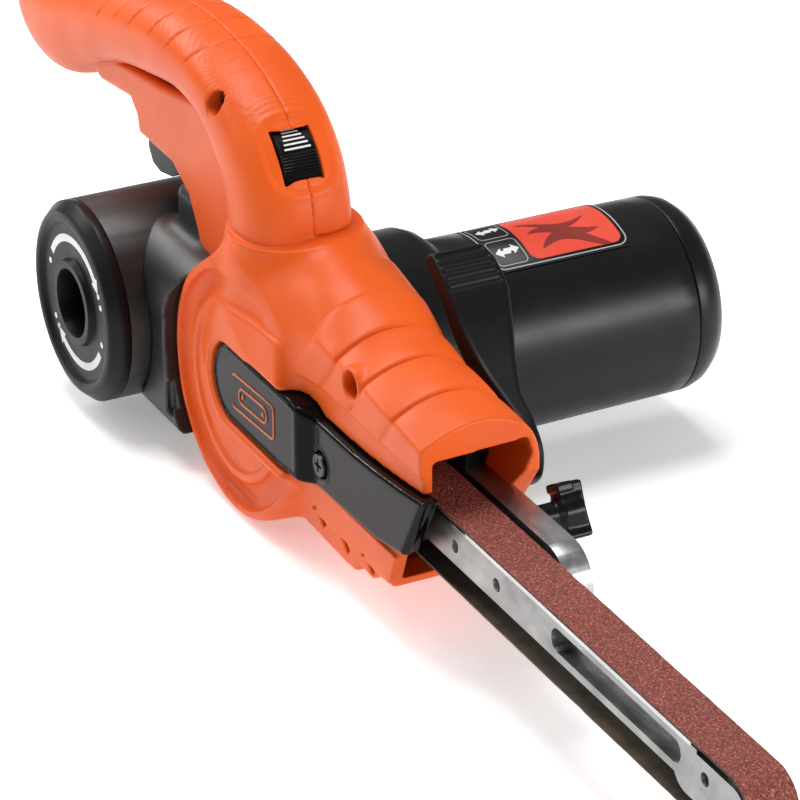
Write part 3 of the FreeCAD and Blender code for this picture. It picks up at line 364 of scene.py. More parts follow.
# The grip: outer point, inner point and half width of each section, along the hand's length.
GRIP = [
    ((13.4, 36.0), (-15.0, 36.0), 15.8),
    ((13.5, 44.0), (-15.0, 43.0), 15.9),
    ((12.9, 54.0), (-18.0, 50.5), 15.8),
    ((9.6, 63.5), (-21.5, 56.5), 15.7),
    ((2.5, 72.0), (-26.0, 61.5), 15.6),
    ((-8.0, 79.0), (-31.5, 64.8), 15.4),
    ((-24.0, 84.6), (-39.0, 66.3), 15.2),
    ((-42.0, 87.0), (-50.0, 66.2), 15.0),
    ((-60.0, 86.8), (-66.0, 63.5), 15.0),
    ((-80.0, 83.5), (-88.0, 59.0), 15.0),
    ((-103.0, 78.2), (-110.0, 50.0), 15.0),
    ((-125.0, 72.8), (-129.0, 40.4), 15.1),
    ((-143.0, 68.0), (-146.0, 40.6), 14.4),
    ((-158.0, 63.8), (-160.0, 46.0), 12.0),
    ((-166.6, 60.6), (-166.6, 50.4), 8.0),
]
GRIP_Y = 1.0
GRIP_POWER = 2.45
GRIP_STATIONS = 420
GRIP_LINE_X = [-33.0, -46.0, -58.0, -70.5, -81.5, -92.5]
GRIP_LINES_FROM = 60
# The web under the grip, which carries the trigger.
WEB = [
    (-114.0, 52.0), (-106.0, 48.6), (-85.0, 51.0), (-81.0, 47.5), (-79.5, 42.4), (-57.0, 42.0),
    (-46.5, 36.5), (-41.0, 28.0), (-39.0, 20.0), (-30.0, 16.0), (-12.0, 16.0), (-12.5, 46.0),
    (-17.5, 56.0), (-24.0, 64.0), (-31.0, 68.5), (-62.0, 63.0), (-100.0, 59.0),
]
WEB_HALF = 9.6


def smooth_table(table, count):
    """Catmull-Rom curve through a list of numbers, sampled evenly."""
    table = np.asarray(table, dtype=np.float64)
    padded = np.vstack([2 * table[0] - table[1], table, 2 * table[-1] - table[-2]])
    s = np.linspace(0, len(table) - 1 - 1e-9, count)
    i = s.astype(int)
    f = (s - i)[:, None]
    p0, p1, p2, p3 = padded[i], padded[i + 1], padded[i + 2], padded[i + 3]
    return 0.5 * (2 * p1 + (p2 - p0) * f + (2 * p0 - 5 * p1 + 4 * p2 - p3) * f ** 2
                  + (3 * p1 - p0 - 3 * p2 + p3) * f ** 3)


GRIP_ROWS = smooth_table([[*outer, *inner, width] for outer, inner, width in GRIP], GRIP_STATIONS)
GRIP_MIDDLE = (GRIP_ROWS[:, 0:2] + GRIP_ROWS[:, 2:4]) / 2
GRIP_PITCH = np.hypot(*np.gradient(GRIP_MIDDLE, axis=0).T)
GRIP_LINES = [int(np.argmin(np.abs(GRIP_ROWS[GRIP_LINES_FROM:, 0] - x))) + GRIP_LINES_FROM
              for x in GRIP_LINE_X]


def grip_map(x, z):
    """For points of the XZ plane: place along the grip, place across it, and its half sizes."""
    rows, mid = GRIP_ROWS, GRIP_MIDDLE
    half = (rows[:, 0:2] - rows[:, 2:4]) / 2
    width = rows[:, 4]
    length = np.hypot(half[:, 0], half[:, 1])
    unit = half / length[:, None]
    shape = np.broadcast(x, z).shape
    px = np.broadcast_to(x, shape).ravel()
    pz = np.broadcast_to(z, shape).ravel()
    station = np.zeros(px.size, dtype=np.float32)
    across = np.zeros(px.size, dtype=np.float32)
    best = np.full(px.size, 1e9, dtype=np.float32)
    for j in range(len(rows)):
        dx, dz = px - mid[j, 0], pz - mid[j, 1]
        side = np.abs(dx * unit[j, 1] - dz * unit[j, 0])
        u = (dx * unit[j, 0] + dz * unit[j, 1]) / length[j]
        cost = side + 6.0 * np.maximum(np.abs(u) - 1.25, 0)
        better = cost < best
        best[better] = cost[better]
        station[better] = j
        across[better] = u[better]
    index = station.astype(int)
    return (station.reshape(shape), across.reshape(shape), length[index].reshape(shape),
            width[index].reshape(shape))


# The box that the two housing halves are sampled in.
SHELL_BOX = ((-170.0, 108.0), (-22.5, 24.0), (-40.0, 91.0))
SLAB = 40

# The nose's arch by station: height at its near edge, at its crown and at its far edge, and below.
STATIONS_X = [-30.0, -17.0, 4.0, 24.0, 38.0, 52.0, 66.0, 112.0]
EDGE_Z = [24.0, 31.0, 33.5, 32.5, 31.2, 30.6, 30.0, 25.2]
CROWN_Z = [32.0, 41.0, 44.0, 43.6, 40.4, 36.6, 35.0, 30.4]
FAR_Z = [26.0, 36.0, 39.4, 40.4, 37.4, 29.4, 26.0, 22.8]
BOTTOM_X = [30.0, 57.0, 62.0, 64.5, 72.0, 74.5, 88.0]
BOTTOM_Z = [-25.4, -26.3, -26.0, -23.0, -23.4, -21.0, -19.6]
GROOVES = [52.5, 67.5, 84.5]
BAND_START = 39.5
BAND_END = 101.0
PLATE_LOW_Z = 19.4
CROWN_Y = 4.0
NEAR_SPAN = 16.0
FAR_SPAN_SQUARED = 295.8
NEAR_Y = -12.0
FAR_Y = 21.2
FRONT_X = [69.3, 90.9, 101.0]
FRONT_Z = [-60.0, 0.0, 15.0]

# The mouth at the nose's front, and the openings in the nose.
MOUTH_TOP_Z = 23.5
MOUTH_NEAR_Y = -9.3
MOUTH_BACK_X = 40.0
CHEEK_Z = [8.0, 12.1, 19.9, 24.6]
CHEEK_Y = [14.0, 15.2, 18.9, 17.6]
FLOOR_WALL = 2.6
NOSE_HOLE = (61.8, 28.6)
NOSE_HOLE_R, NOSE_SEAT_R = 3.8, 4.9
VENTS = [(42.5, -19.0), (56.5, -19.8), (71.0, -19.2)]
VENT_HALF = (3.0, 0.9)
VENT_TILT = 0.75
KNOB_NOTCH_X, KNOB_NOTCH_R = 93.0, 4.2

# The drum, with its sunk near face, and the bezel round the belt cover.
DRUM_R = 36.0
DRUM_FAR_Y = 20.0
FACE_Y = -18.0
RING_R, RING_HALF, RING_DEPTH, RING_INNER_R = 29.4, 3.9, 4.0, 25.5
DISC_R, DISC_BEVEL, DISC_LIP, DISC_DEPTH = 23.4, 0.9, 0.5, 1.3
ARC_OUTER_R, ARC_INNER_R, ARC_DEPTH = 21.6, 17.0, 0.28
BEZEL_Y, BEZEL_WIDTH = -19.1, 1.3
MOUND_Y, MOUND_START, MOUND_END = -19.6, 2.2, 11.0
COVER_GAP = 0.35
COVER_FLOOR_Y = -14.2

# The handle: its collar, seam and gap, the thumbwheel's place, screw holes and the cord gland.
COLLAR_Z = 43.6
SEAM_DEPTH = 0.1
HALVES_GAP = 0.04
DIAL = (-1.9, 62.0)
DIAL_Y = 0.5
DIAL_R = 10.25
DIAL_HALF = 5.3
DIAL_FACE = (5.5, 68.5)
DIAL_ALONG = (0.66, -0.75)
SCREW_HOLES = [(-17.4, 76.0)]
SCREW_HOLE_R = 3.3
GLAND_Z, GLAND_R, GLAND_END_X = 56.0, 5.6, -148.0

# The belt cover's outline in XZ.
COVER_PAD_X, COVER_PAD_Z, COVER_PAD_R = 1.6, 2.85, 11.5
COVER_LOW_EDGE = [(30.0, -8.6), (40.0, -7.9), (60.0, -7.4), (80.0, -6.8), (90.0, -5.2)]
COVER_FRONT_EDGE = [(95.0, -4.2), (106.0, 15.8)]
COVER_TOP_EDGE = [(94.0, 14.1), (80.0, 12.6), (67.0, 11.7), (46.0, 11.5), (41.0, 13.8),
                  (37.0, 14.35)]
COVER_PAD_STEPS = 24


def cover_outline():
    """Outline of the belt cover in XZ, from the rear arc forward."""
    points = []
    for i in range(COVER_PAD_STEPS + 1):
        angle = math.pi / 2 + math.pi * i / COVER_PAD_STEPS
        points.append((COVER_PAD_X + COVER_PAD_R * math.cos(angle),
                       COVER_PAD_Z + COVER_PAD_R * math.sin(angle)))
    return points + COVER_LOW_EDGE + COVER_FRONT_EDGE + COVER_TOP_EDGE


def soft_step(t):
    """0 below t = 0 and 1 above t = 1, with a smooth rise between them."""
    t = np.clip(t, 0.0, 1.0)
    return t * t * (3.0 - 2.0 * t)


def band_height(s):
    """Height of the nose's bands over the plain arch: each one a low crown with a steep front."""
    edges = [BAND_START] + GROOVES + [BAND_END + 8]
    height = np.zeros_like(s)
    for a, b in zip(edges[:-1], edges[1:]):
        t = np.clip((s - a) / (b - a), 0, 1)
        bump = 0.35 + 0.95 * np.sqrt(np.clip(1 - np.abs(2 * t - 1) ** 2.4, 0, 1))
        height = np.where((s >= a) & (s < b), bump, height)
    for g in GROOVES:
        height = height - 0.5 * np.exp(-((s - g) / 0.5) ** 2)
    return height


def face_relief(x, z, rr, cover):
    """Y of the drum's near face: rim, hollow ring, inner disc with fine rings, and the bezel."""
    lean = 5.5 * soft_step((0.75 * x + 0.66 * z + 8.0) / 42.0)
    hollow = RING_DEPTH * np.sqrt(np.clip(1 - ((rr - RING_R) / RING_HALF) ** 2, 0, 1))
    depth = np.where(rr > RING_INNER_R, hollow, 0.0)
    depth = np.where(rr < RING_INNER_R, DISC_LIP, depth)
    bevel = np.clip((DISC_R - rr) / DISC_BEVEL, 0, 1)
    depth = np.where(rr < DISC_R, DISC_LIP + DISC_DEPTH * bevel, depth)
    arcs = ARC_DEPTH * (np.cos(rr * 2.9) > 0.6) * (rr < ARC_OUTER_R) * (rr > ARC_INNER_R)
    relief = FACE_Y + lean * np.clip((rr - 14.0) / 14.0, 0, 1) + depth - arcs
    # the mound climbs from the bezel to the cover, gently above the belt and steeply below it
    slope = np.where(z > 0, 0.40, 1.4)
    mound = MOUND_Y + slope * np.clip(cover - MOUND_START, 0, 40)
    mound = np.where(cover < BEZEL_WIDTH, BEZEL_Y, mound)
    mound = np.where(cover > MOUND_END, mound + 2.5 * (cover - MOUND_END), mound)
    mound = mound + 1.3 * np.clip(x - 40.0, 0, 20)
    return np.minimum(relief, mound)


def nose_field(x, y, z, flat):
    """The banded arch, its walls and the lower flange; and the mouth to hollow out of it."""
    edge, crown, far = flat["edge"], flat["crown"], flat["far"]
    drop = np.where(y < CROWN_Y, (crown - edge) / NEAR_SPAN ** 2, (crown - far) / FAR_SPAN_SQUARED)
    top = crown - drop * (y - CROWN_Y) ** 2
    lean = 1.0 / np.sqrt(1.0 + (2 * drop * (y - CROWN_Y)) ** 2)
    roof = (z - top) * lean
    roof_bands = band_height(np.broadcast_to(x, z.shape).copy())
    wall_bands = band_height(x + 0.74 * np.clip(edge - z, 0, 14.0))
    plate = soft_step((z - PLATE_LOW_Z) / 0.8)
    near = NEAR_Y - y - 0.75 * wall_bands * plate * (x > BAND_START - 8)
    near_round = np.interp(x, [24.0, 41.0], [16.0, 0.9])
    arch = smooth_max(roof - roof_bands, y - FAR_Y, 6.0)
    arch = smooth_max(arch, near, near_round)
    arch = smooth_max(arch, flat["bottom"] - z, 1.6)
    arch = smooth_max(arch, -30.0 - x, 6.0)
    ledge = np.maximum(np.abs(z + 13.6) - 4.8, -13.2 - y)
    ledge = np.maximum(ledge, np.maximum(y + 8.0, 30.0 - x))
    arch = smooth_min(arch, ledge, 0.6)
    lintel = z - (MOUTH_TOP_Z + 0.042 * (y - MOUTH_NEAR_Y))
    cheek = y - np.interp(z, CHEEK_Z, CHEEK_Y)
    mouth = smooth_max(lintel, np.maximum(cheek, MOUTH_NEAR_Y - y), 1.2)
    mouth = np.maximum(mouth, flat["bottom"] + FLOOR_WALL - z)
    return arch, np.maximum(mouth, MOUTH_BACK_X - x)


def shoulder_field(x, y, z):
    """The neck that rises from the drum to the collar of the handle."""
    neck = np.sqrt((x / 17.0) ** 2 + ((y - GRIP_Y) / 18.0) ** 2)
    shoulder = np.maximum((neck - 1.0) * 15.0, z - 45.0)
    return np.maximum(shoulder, 20.0 - z)


def bulge_field(x, y, z):
    """The swelling between the shoulder and the nose's first band."""
    reach = np.sqrt(((x - 21.0) / 29.0) ** 2 + ((y - 2.0) / 17.6) ** 2 + ((z - 22.5) / 21.4) ** 2)
    return (reach - 1.0) * 17.0


def body_field(x, y, z, flat):
    """Drum, shoulder and nose, with the belt cover's pocket and window."""
    rr = np.hypot(x, z)
    radius = DRUM_R + np.clip((y - FACE_Y) / 12.0, 0, 1)
    cover = flat["cover"]
    face = (face_relief(x, z, rr, cover) - y) * 0.85
    drum = smooth_max(rr - radius, face, 1.8)
    drum = smooth_max(drum, y - DRUM_FAR_Y, 1.0)
    arch, mouth = nose_field(x, y, z, flat)
    raked = (x - np.interp(z, FRONT_Z, FRONT_X)) * 0.96
    arch = smooth_max(arch, raked, 0.5)
    outer = smooth_min(drum, arch, np.interp(x, [22.0, 42.0], [8.0, 2.5]))
    outer = smooth_min(outer, shoulder_field(x, y, z), 9.0)
    outer = smooth_min(outer, bulge_field(x, y, z), 5.0)
    outer = np.maximum(outer, raked)
    outer = np.maximum(outer, -mouth)
    outer = np.maximum(outer, NEAR_Y - 7.8 - y)
    pocket = np.maximum(cover - COVER_GAP, y - COVER_FLOOR_Y)
    outer = smooth_max(outer, -pocket, 0.4)
    window = np.maximum(np.maximum(cover - COVER_GAP, y + 8.0), 20.0 - x)
    return np.maximum(outer, -window)


def hole_y(x, y, z, place, radius, depth_y):
    """Round hole along Y, from the near side down to depth_y."""
    return np.maximum(np.hypot(x - place[0], z - place[1]) - radius, y - depth_y)


def grip_field(y, flat):
    """The hand grip: a rounded section swept along its length, with lines and the dial's dish."""
    u, a, b, station = flat["u"], flat["a"], flat["b"], flat["station"]
    w = (y - GRIP_Y) / b
    n = GRIP_POWER
    f = (np.abs(u) ** n + np.abs(w) ** n) ** (1 / n) + 1e-6
    grad = np.hypot((np.abs(u) / f) ** (n - 1) / a, (np.abs(w) / f) ** (n - 1) / b)
    grip = (f - 1) / grad
    # shallow lines across the top of the grip
    lines = np.full(np.broadcast(u, y).shape, 1e3, dtype=np.float32)
    for place in GRIP_LINES:
        lines = np.minimum(lines, np.abs(station - place) * flat["pitch"])
    reach = soft_step((u - 0.15) / 0.15) * soft_step((14.5 - np.abs(y - GRIP_Y)) / 1.0)
    grip = grip + 0.55 * np.clip(1 - lines / 0.6, 0, 1) * reach
    # oval step round the thumbwheel
    along = np.abs(flat["dial_along"] / 11.0) ** 3
    across = np.abs((y - 0.6) / 9.6) ** 3
    oval = ((along + across) ** (1 / 3) - 1.0) * 9.6
    raised = 0.2 * np.clip(1 - np.abs(oval - 0.8) / 0.9, 0, 1)
    dish = (0.62 * soft_step(-oval / 1.0) - raised) * (u > 0.1)
    return smooth_max(grip + dish, flat["off_end"], 3.0)


def handle_field(x, y, z, flat):
    """The grip down to its collar, the web under it, and a fine crease where they meet."""
    grip = grip_field(y, flat)
    near = soft_step((6.0 - y) / 10.0) * soft_step((x + 8.0) / 9.0)
    collar = COLLAR_Z + 1.2 * near - z
    grip = smooth_max(grip, collar, 1.2)
    web = smooth_max(flat["web"], np.abs(y - GRIP_Y) - WEB_HALF, 2.4)
    handle = smooth_min(grip, web, 0.8)
    crease = np.abs(grip - web) / 1.4
    return handle + 0.45 * np.clip(1 - crease / 0.7, 0, 1) * (np.abs(y - GRIP_Y) > 6.0)


def cut_handle(handle, x, y, z):
    """Screw holes, the thumbwheel's well, the trigger's slot and the cord gland's hole."""
    for place in SCREW_HOLES:
        handle = np.maximum(handle, -hole_y(x, y, z, place, SCREW_HOLE_R, -8.0))
    wheel = np.hypot(x - DIAL[0], z - DIAL[1]) - DIAL_R - 0.7
    well = np.maximum(wheel, np.abs(y - DIAL_Y) - DIAL_HALF - 0.3)
    handle = smooth_max(handle, -well, 0.5)
    slot = np.maximum(np.abs(x + 65.0) - 15.0, np.abs(y - GRIP_Y) - 7.2)
    handle = np.maximum(handle, -np.maximum(slot, z - 52.0))
    gland = np.maximum(np.hypot(y - GRIP_Y, z - GLAND_Z) - GLAND_R, x - GLAND_END_X)
    return np.maximum(handle, -gland)


def cut_nose(body, x, y, z):
    """The recessed screw hole with its raised seat, the vents and the knob stem's slot."""
    seat = np.hypot(x - NOSE_HOLE[0], z - NOSE_HOLE[1]) - NOSE_SEAT_R
    body = smooth_min(body, np.maximum(seat, np.abs(y + 7.0) - 5.9), 0.5)
    body = smooth_max(body, -hole_y(x, y, z, NOSE_HOLE, NOSE_HOLE_R, 4.0), 0.5)
    c, s = math.cos(VENT_TILT), math.sin(VENT_TILT)
    for cx, cz in VENTS:
        along = np.abs((x - cx) * s - (z - cz) * c) - VENT_HALF[0]
        over = np.abs((x - cx) * c + (z - cz) * s) - VENT_HALF[1]
        vent = np.maximum(np.maximum(along, over), np.abs(y + 12.0) - 6.0)
        body = np.maximum(body, -vent)
    notch = np.hypot(np.minimum(x - KNOB_NOTCH_X, 0.0), z) - KNOB_NOTCH_R
    return np.maximum(body, -np.maximum(notch, np.abs(y - 20.0) - 4.0))


def shell_fields(x, y, z, flat):
    """Fields of the right and the left housing half."""
    handle = cut_handle(handle_field(x, y, z, flat), x, y, z)
    body = cut_nose(body_field(x, y, z, flat), x, y, z)
    # the left half is what lies beyond the parting plane, outside the body
    part_left = np.maximum(GRIP_Y - y, -(body - SEAM_DEPTH))
    joined = smooth_min(body, handle, 0.5)
    seam = SEAM_DEPTH * np.clip(1 - np.abs(y - GRIP_Y) / 0.5, 0, 1) * (body > 0.6)
    joined = joined + seam
    right = np.maximum(joined, -(part_left + HALVES_GAP))
    left = np.maximum(np.maximum(handle + seam, part_left - HALVES_GAP), -(body - SEAM_DEPTH))
    return right, left


def flat_cells(plane_x, plane_z):
    """Everything about the shells that depends on X and Z only."""
    station, u, a, b = grip_map(plane_x, plane_z)
    cells = {
        "station": station, "u": u, "a": a, "b": b,
        "pitch": GRIP_PITCH[station.astype(int)],
        "off_end": GRIP[-1][0][0] - plane_x,
        "web": polygon_distance(WEB, plane_x, plane_z),
        "cover": polygon_distance(cover_outline(), plane_x, plane_z),
        "dial_along": ((plane_x - DIAL_FACE[0]) * DIAL_ALONG[0]
                       + (plane_z - DIAL_FACE[1]) * DIAL_ALONG[1]),
        "bottom": np.interp(plane_x, BOTTOM_X, BOTTOM_Z),
    }
    for name, table in (("edge", EDGE_Z), ("crown", CROWN_Z), ("far", FAR_Z)):
        cells[name] = np.interp(plane_x, STATIONS_X, table)
    for name in set(cells) - {"station", "u", "a", "b"}:
        cells[name] = cells[name].astype(np.float32)
    return cells


def build_shells():
    """Samples both halves' fields, a slab of X at a time to save memory."""
    axes = [np.arange(low, high, STEP, dtype=np.float32) for low, high in SHELL_BOX]
    xs, ys, zs = axes
    cells = flat_cells(*np.meshgrid(xs, zs, indexing="ij"))
    right = np.empty((len(xs), len(ys), len(zs)), dtype=np.float32)
    left = np.empty_like(right)
    for i in range(0, len(xs), SLAB):
        flat = {name: cell[i:i + SLAB][:, None, :] for name, cell in cells.items()}
        x, y, z = np.meshgrid(xs[i:i + SLAB], ys, zs, indexing="ij")
        right[i:i + SLAB], left[i:i + SLAB] = shell_fields(x, y, z, flat)
    return axes, right, left


def housing():
    """Both halves of the housing, as shells that stand for their CAD nodes."""
    axes, right, left = build_shells()
    for name, field in (("housing_right", right), ("housing_left", left)):
        mesh = field_mesh("shell_" + name, field, axes, STEP)
        obj = add_object("shell_" + name, mesh, [ORANGE], "housing")
        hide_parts(name)


# ---- Smaller moulded pieces, also from distance fields ----
def field_piece(name, low, high, step, shape, material, body, node):
    """Meshes shape(x, y, z) inside a box, as a piece that stands for a CAD node."""
    axes = [np.arange(a, b + step, step, dtype=np.float32) for a, b in zip(low, high)]
    field = shape(*np.meshgrid(*axes, indexing="ij"))
    obj = add_object(name, field_mesh("mesh_" + name, field, axes, step), [material], body)
    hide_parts(node)


def outline_distance(points, x, z):
    """polygon_distance for a grid whose second axis is Y: one XZ layer serves every Y."""
    return polygon_distance(points, x[:, 0, :], z[:, 0, :])[:, None, :]


def rounded_box(x, y, z, low, high, radius):
    mid = [(a + b) / 2 for a, b in zip(low, high)]
    half = [(b - a) / 2 for a, b in zip(low, high)]
    q = [np.abs(v - m) - h + radius for v, m, h in zip((x, y, z), mid, half)]
    outside = np.sqrt(sum(np.maximum(c, 0) ** 2 for c in q))
    return outside + np.minimum(np.maximum(np.maximum(q[0], q[1]), q[2]), 0) - radius


CAN_X, CAN_Z, CAN_R = -74.0, -2.6, 29.0


def duct_shape(x, y, z):
    """Duct between drum and canister: a block with a tube across it and a neck up to the grip."""
    tube = np.hypot(y + 7.4, z - 10.8) - 14.2
    tube = smooth_max(tube, np.abs(x + 37.5) - 25.0, 2.0)
    block = rounded_box(x, y, z, (-61.0, -21.4, -25.4), (-14.0, 16.0, 12.0), 2.2)
    back = rounded_box(x, y, z, (-61.0, -6.0, 0.0), (-14.0, 16.0, 23.0), 6.0)
    block = smooth_min(smooth_min(block, back, 1.0), tube, 1.5)
    neck = rounded_box(x, y, z, (-57.0, -8.0, 18.0), (-36.0, 12.0, 37.5), 4.0)
    block = smooth_min(block, neck, 4.0)
    block = smooth_max(block, CAN_R + 0.4 - np.hypot(x - CAN_X, z - CAN_Z), 0.6)
    block = np.maximum(block, DRUM_R + 0.4 - np.hypot(x, z))
    notch = np.maximum(np.abs(x + 33.5) - 2.2, np.abs(z + 17.0) - 4.6)
    block = np.maximum(block, -np.maximum(notch, np.abs(y + 20.5) - 1.2))
    pocket = rounded_box(x, y, z, (-70.0, -12.0, -18.0), (-20.0, 12.0, 12.0), 3.0)
    return np.maximum(block, -pocket)


COVER_SCREW_X = 49.0
COVER_STEP_X = 40.0


def cover_shape(x, y, z):
    """Belt cover: a rimmed pad that steps down to a flat bar, a skirt and the screw's well."""
    d = outline_distance(cover_outline(), x, z)
    top = -18.6 + 3.6 * soft_step((x - COVER_STEP_X - 0.4) / 6.4)
    rim = -0.28 * np.clip(1 - np.abs(d + 1.5) / 0.45, 0, 1) * (x < COVER_STEP_X)
    sunk = 0.12 * soft_step((-d - 1.9) / 0.4) * (x < COVER_STEP_X - 1.0)
    plate = smooth_max(d, (top + rim + sunk - y) * 0.96, 1.4)
    plate = np.maximum(plate, y - np.where(x < 24.0, -14.4, -12.4))
    skirt = np.maximum(np.maximum(d + 0.2, -d - 2.4), np.maximum(y + 9.9, -13.0 - y))
    cover = np.minimum(plate, np.maximum(skirt, 24.0 - x))
    radial = np.hypot(x - COVER_SCREW_X, z)
    ring = np.abs(radial - 4.6) - 0.35
    cover = np.minimum(cover, np.maximum(ring, np.maximum(-15.25 - y, y + 14.6)))
    well = np.maximum(radial - 3.7, y + 13.9)
    return np.maximum(cover, -np.minimum(well, radial - 1.75))


def rounded_rectangle(x, z, half_x, half_z, radius):
    qx = np.abs(x) - half_x + radius
    qz = np.abs(z) - half_z + radius
    outside = np.hypot(np.maximum(qx, 0), np.maximum(qz, 0))
    return outside + np.minimum(np.maximum(qx, qz), 0) - radius


BADGE_CENTRE = (15.3, 2.5)
BADGE_Y = -18.42
BADGE_LINE = 0.34
LOOP_HALF, LOOP_R = 6.2, 2.3


def badge_shape(x, y, z):
    """A plain frame with a small belt loop inside it."""
    u = x - BADGE_CENTRE[0]
    v = z - BADGE_CENTRE[1] - 0.05 * u
    drawn = np.abs(rounded_rectangle(u, v, 12.8, 5.0, 1.8)) - BADGE_LINE
    loop = np.hypot(np.maximum(np.abs(u) - LOOP_HALF, 0), v) - LOOP_R
    drawn = np.minimum(drawn, np.abs(loop) - BADGE_LINE)
    for side in (-1, 1):
        drawn = np.minimum(drawn, np.hypot(u - side * LOOP_HALF, v) - 0.7)
    return np.maximum(drawn, np.abs(y - BADGE_Y) - BADGE_LINE)


KNOB_X = 100.0
KNOB_TILT = math.radians(60.0)
KNOB_HALF = 7.4
STEM_END_Y = 17.2


def knob_shape(x, y, z):
    """Wing knob: a broad paddle with a waist, a lip at one end and a round hub on a stem."""
    along = (x - KNOB_X) * math.cos(KNOB_TILT) - z * math.sin(KNOB_TILT)
    over = (x - KNOB_X) * math.sin(KNOB_TILT) + z * math.cos(KNOB_TILT)
    half = 2.5 + 0.9 * np.clip(np.abs(along) / KNOB_HALF, 0, 1) ** 2
    paddle = np.maximum(np.abs(over) - half, np.abs(y - 30.9) - 3.5)
    paddle = smooth_max(paddle, np.abs(along) - KNOB_HALF, 1.4)
    lip = np.maximum(np.abs(along + 6.4) - 0.9, np.maximum(27.1 - y, y - 31.0))
    lip = np.maximum(lip, np.abs(over) - 3.2)
    radial = np.hypot(x - KNOB_X, z)
    stem_r = np.interp(y, [STEM_END_Y, 26.0, 27.6, 31.0], [3.3, 3.3, 4.4, 4.6])
    stem = np.maximum(radial - stem_r, STEM_END_Y - y)
    stem = np.maximum(stem, y - 33.0)
    knob = smooth_min(smooth_min(paddle, lip, 0.9), stem, 1.2)
    knob = smooth_max(knob, y - 34.4, 0.7)
    return np.maximum(knob, -np.maximum(radial - 2.55, y - 33.4))


LEVER_OUTER = [(38.0, 47.6), (44.0, 44.4), (50.0, 39.6), (57.0, 33.6), (67.0, 28.0), (79.0, 24.4),
               (89.0, 21.4), (94.0, 16.0), (94.2, 9.0), (91.0, 4.6), (86.4, 2.8)]
LEVER_INNER = [(82.6, 3.6), (78.6, 8.0), (72.0, 15.6), (62.0, 21.8), (52.0, 28.0), (44.0, 36.4),
               (35.4, 43.8), (35.6, 46.6)]


LEVER_FAR_X = [34.0, 42.0, 49.0, 56.0, 66.0, 78.0, 90.0]
LEVER_FAR_Y = [37.4, 39.8, 40.2, 37.6, 33.2, 28.4, 26.5]
LEVER_NEAR_Y = 22.6
LEVER_PIVOT, LEVER_BORE_R = (86.0, 10.0), 3.1
PAD_START, PAD_DIRECTION, PAD_LENGTH = (38.0, 49.6), (0.78, -0.62), 14.6
RIB_PITCH, RIB_DEPTH = 2.5, 0.5


def closed_curve(points, per_side):
    """Smooth closed curve through a ring of points."""
    ring = points[-1:] + points + points[:2]
    smooth = smooth_table(ring, (len(ring) - 1) * per_side + 1)
    return [tuple(p) for p in smooth[per_side:-2 * per_side]]


def lever_shape(x, y, z):
    """Strap that runs from the ribbed thumb pad down to its pivot beside the nose."""
    d = outline_distance(closed_curve(LEVER_OUTER + LEVER_INNER, 5), x, z)
    far = np.interp(x, LEVER_FAR_X, LEVER_FAR_Y)
    strap = smooth_max(smooth_max(d, LEVER_NEAR_Y - y, 1.0), y - far, 1.6)
    along = (x - PAD_START[0]) * PAD_DIRECTION[0] + (z - PAD_START[1]) * PAD_DIRECTION[1]
    ribs = RIB_DEPTH * (0.5 + 0.5 * np.cos(2 * math.pi * along / RIB_PITCH)) ** 1.5
    pad = (along > -0.6) * (along < PAD_LENGTH) * (y > LEVER_NEAR_Y + 0.8)
    pad = pad * soft_step((far - 1.0 - y) / 0.8)
    strap = strap + ribs * pad - 0.12 * pad
    return np.maximum(strap, LEVER_BORE_R - np.hypot(x - LEVER_PIVOT[0], z - LEVER_PIVOT[1]))


WHEEL_STEPS = 576
WHEEL_RIBS = 72
WHEEL_BORE = 2.2
WHEEL_SMOOTH = (42.0, 112.0)
WHEEL_PROFILE = [(-DIAL_HALF, -0.5), (-DIAL_HALF + 0.4, 0.0), (-1.6, 0.0), (1.6, 0.0),
                 (DIAL_HALF - 0.4, 0.0), (DIAL_HALF, -0.5)]


def around_dial(radius, angle, y):
    return (DIAL[0] + radius * math.cos(angle), DIAL_Y + y, DIAL[1] + radius * math.sin(angle))


def ring_faces(count, width):
    """Quads that join count rings of width points each, round a closed loop."""
    return [(i * width + k, i * width + (k + 1) % width,
             (i + 1) % count * width + (k + 1) % width, (i + 1) % count * width + k)
            for i in range(count) for k in range(width)]


def speed_wheel():
    """Thumbwheel: fine ribs over most of its rim and a smooth sector with level marks."""
    points = []
    for i in range(WHEEL_STEPS):
        a = 2 * math.pi * i / WHEEL_STEPS
        rib = 0.42 * (0.5 - 0.5 * math.cos(a * WHEEL_RIBS))
        smooth = WHEEL_SMOOTH[0] < math.degrees(a) < WHEEL_SMOOTH[1]
        rim = DIAL_R - (0.12 if smooth else rib)
        points.append(around_dial(WHEEL_BORE, a, -DIAL_HALF))
        points += [around_dial(rim + drop, a, y) for y, drop in WHEEL_PROFILE]
        points.append(around_dial(WHEEL_BORE, a, DIAL_HALF))
    faces = ring_faces(WHEEL_STEPS, len(WHEEL_PROFILE) + 2)
    obj = add_object("ribbed_wheel", mesh_from("wheel_mesh", points, faces), [SATIN_BLACK],
                     "speed_dial")
    smooth_by_angle(obj)
    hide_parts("speed_dial")
    bars = []
    for k, start in enumerate(range(46, 106, 8)):
        half = 3.8 - 0.35 * k
        bars.append([(start, -half), (start + 3.0, -half), (start + 3.0, half), (start, half)])
    film("wheel_marks", bars, lambda u, v: around_dial(DIAL_R - 0.08, math.radians(u), v),
         PRINT_WHITE, "speed_dial", 1.5)


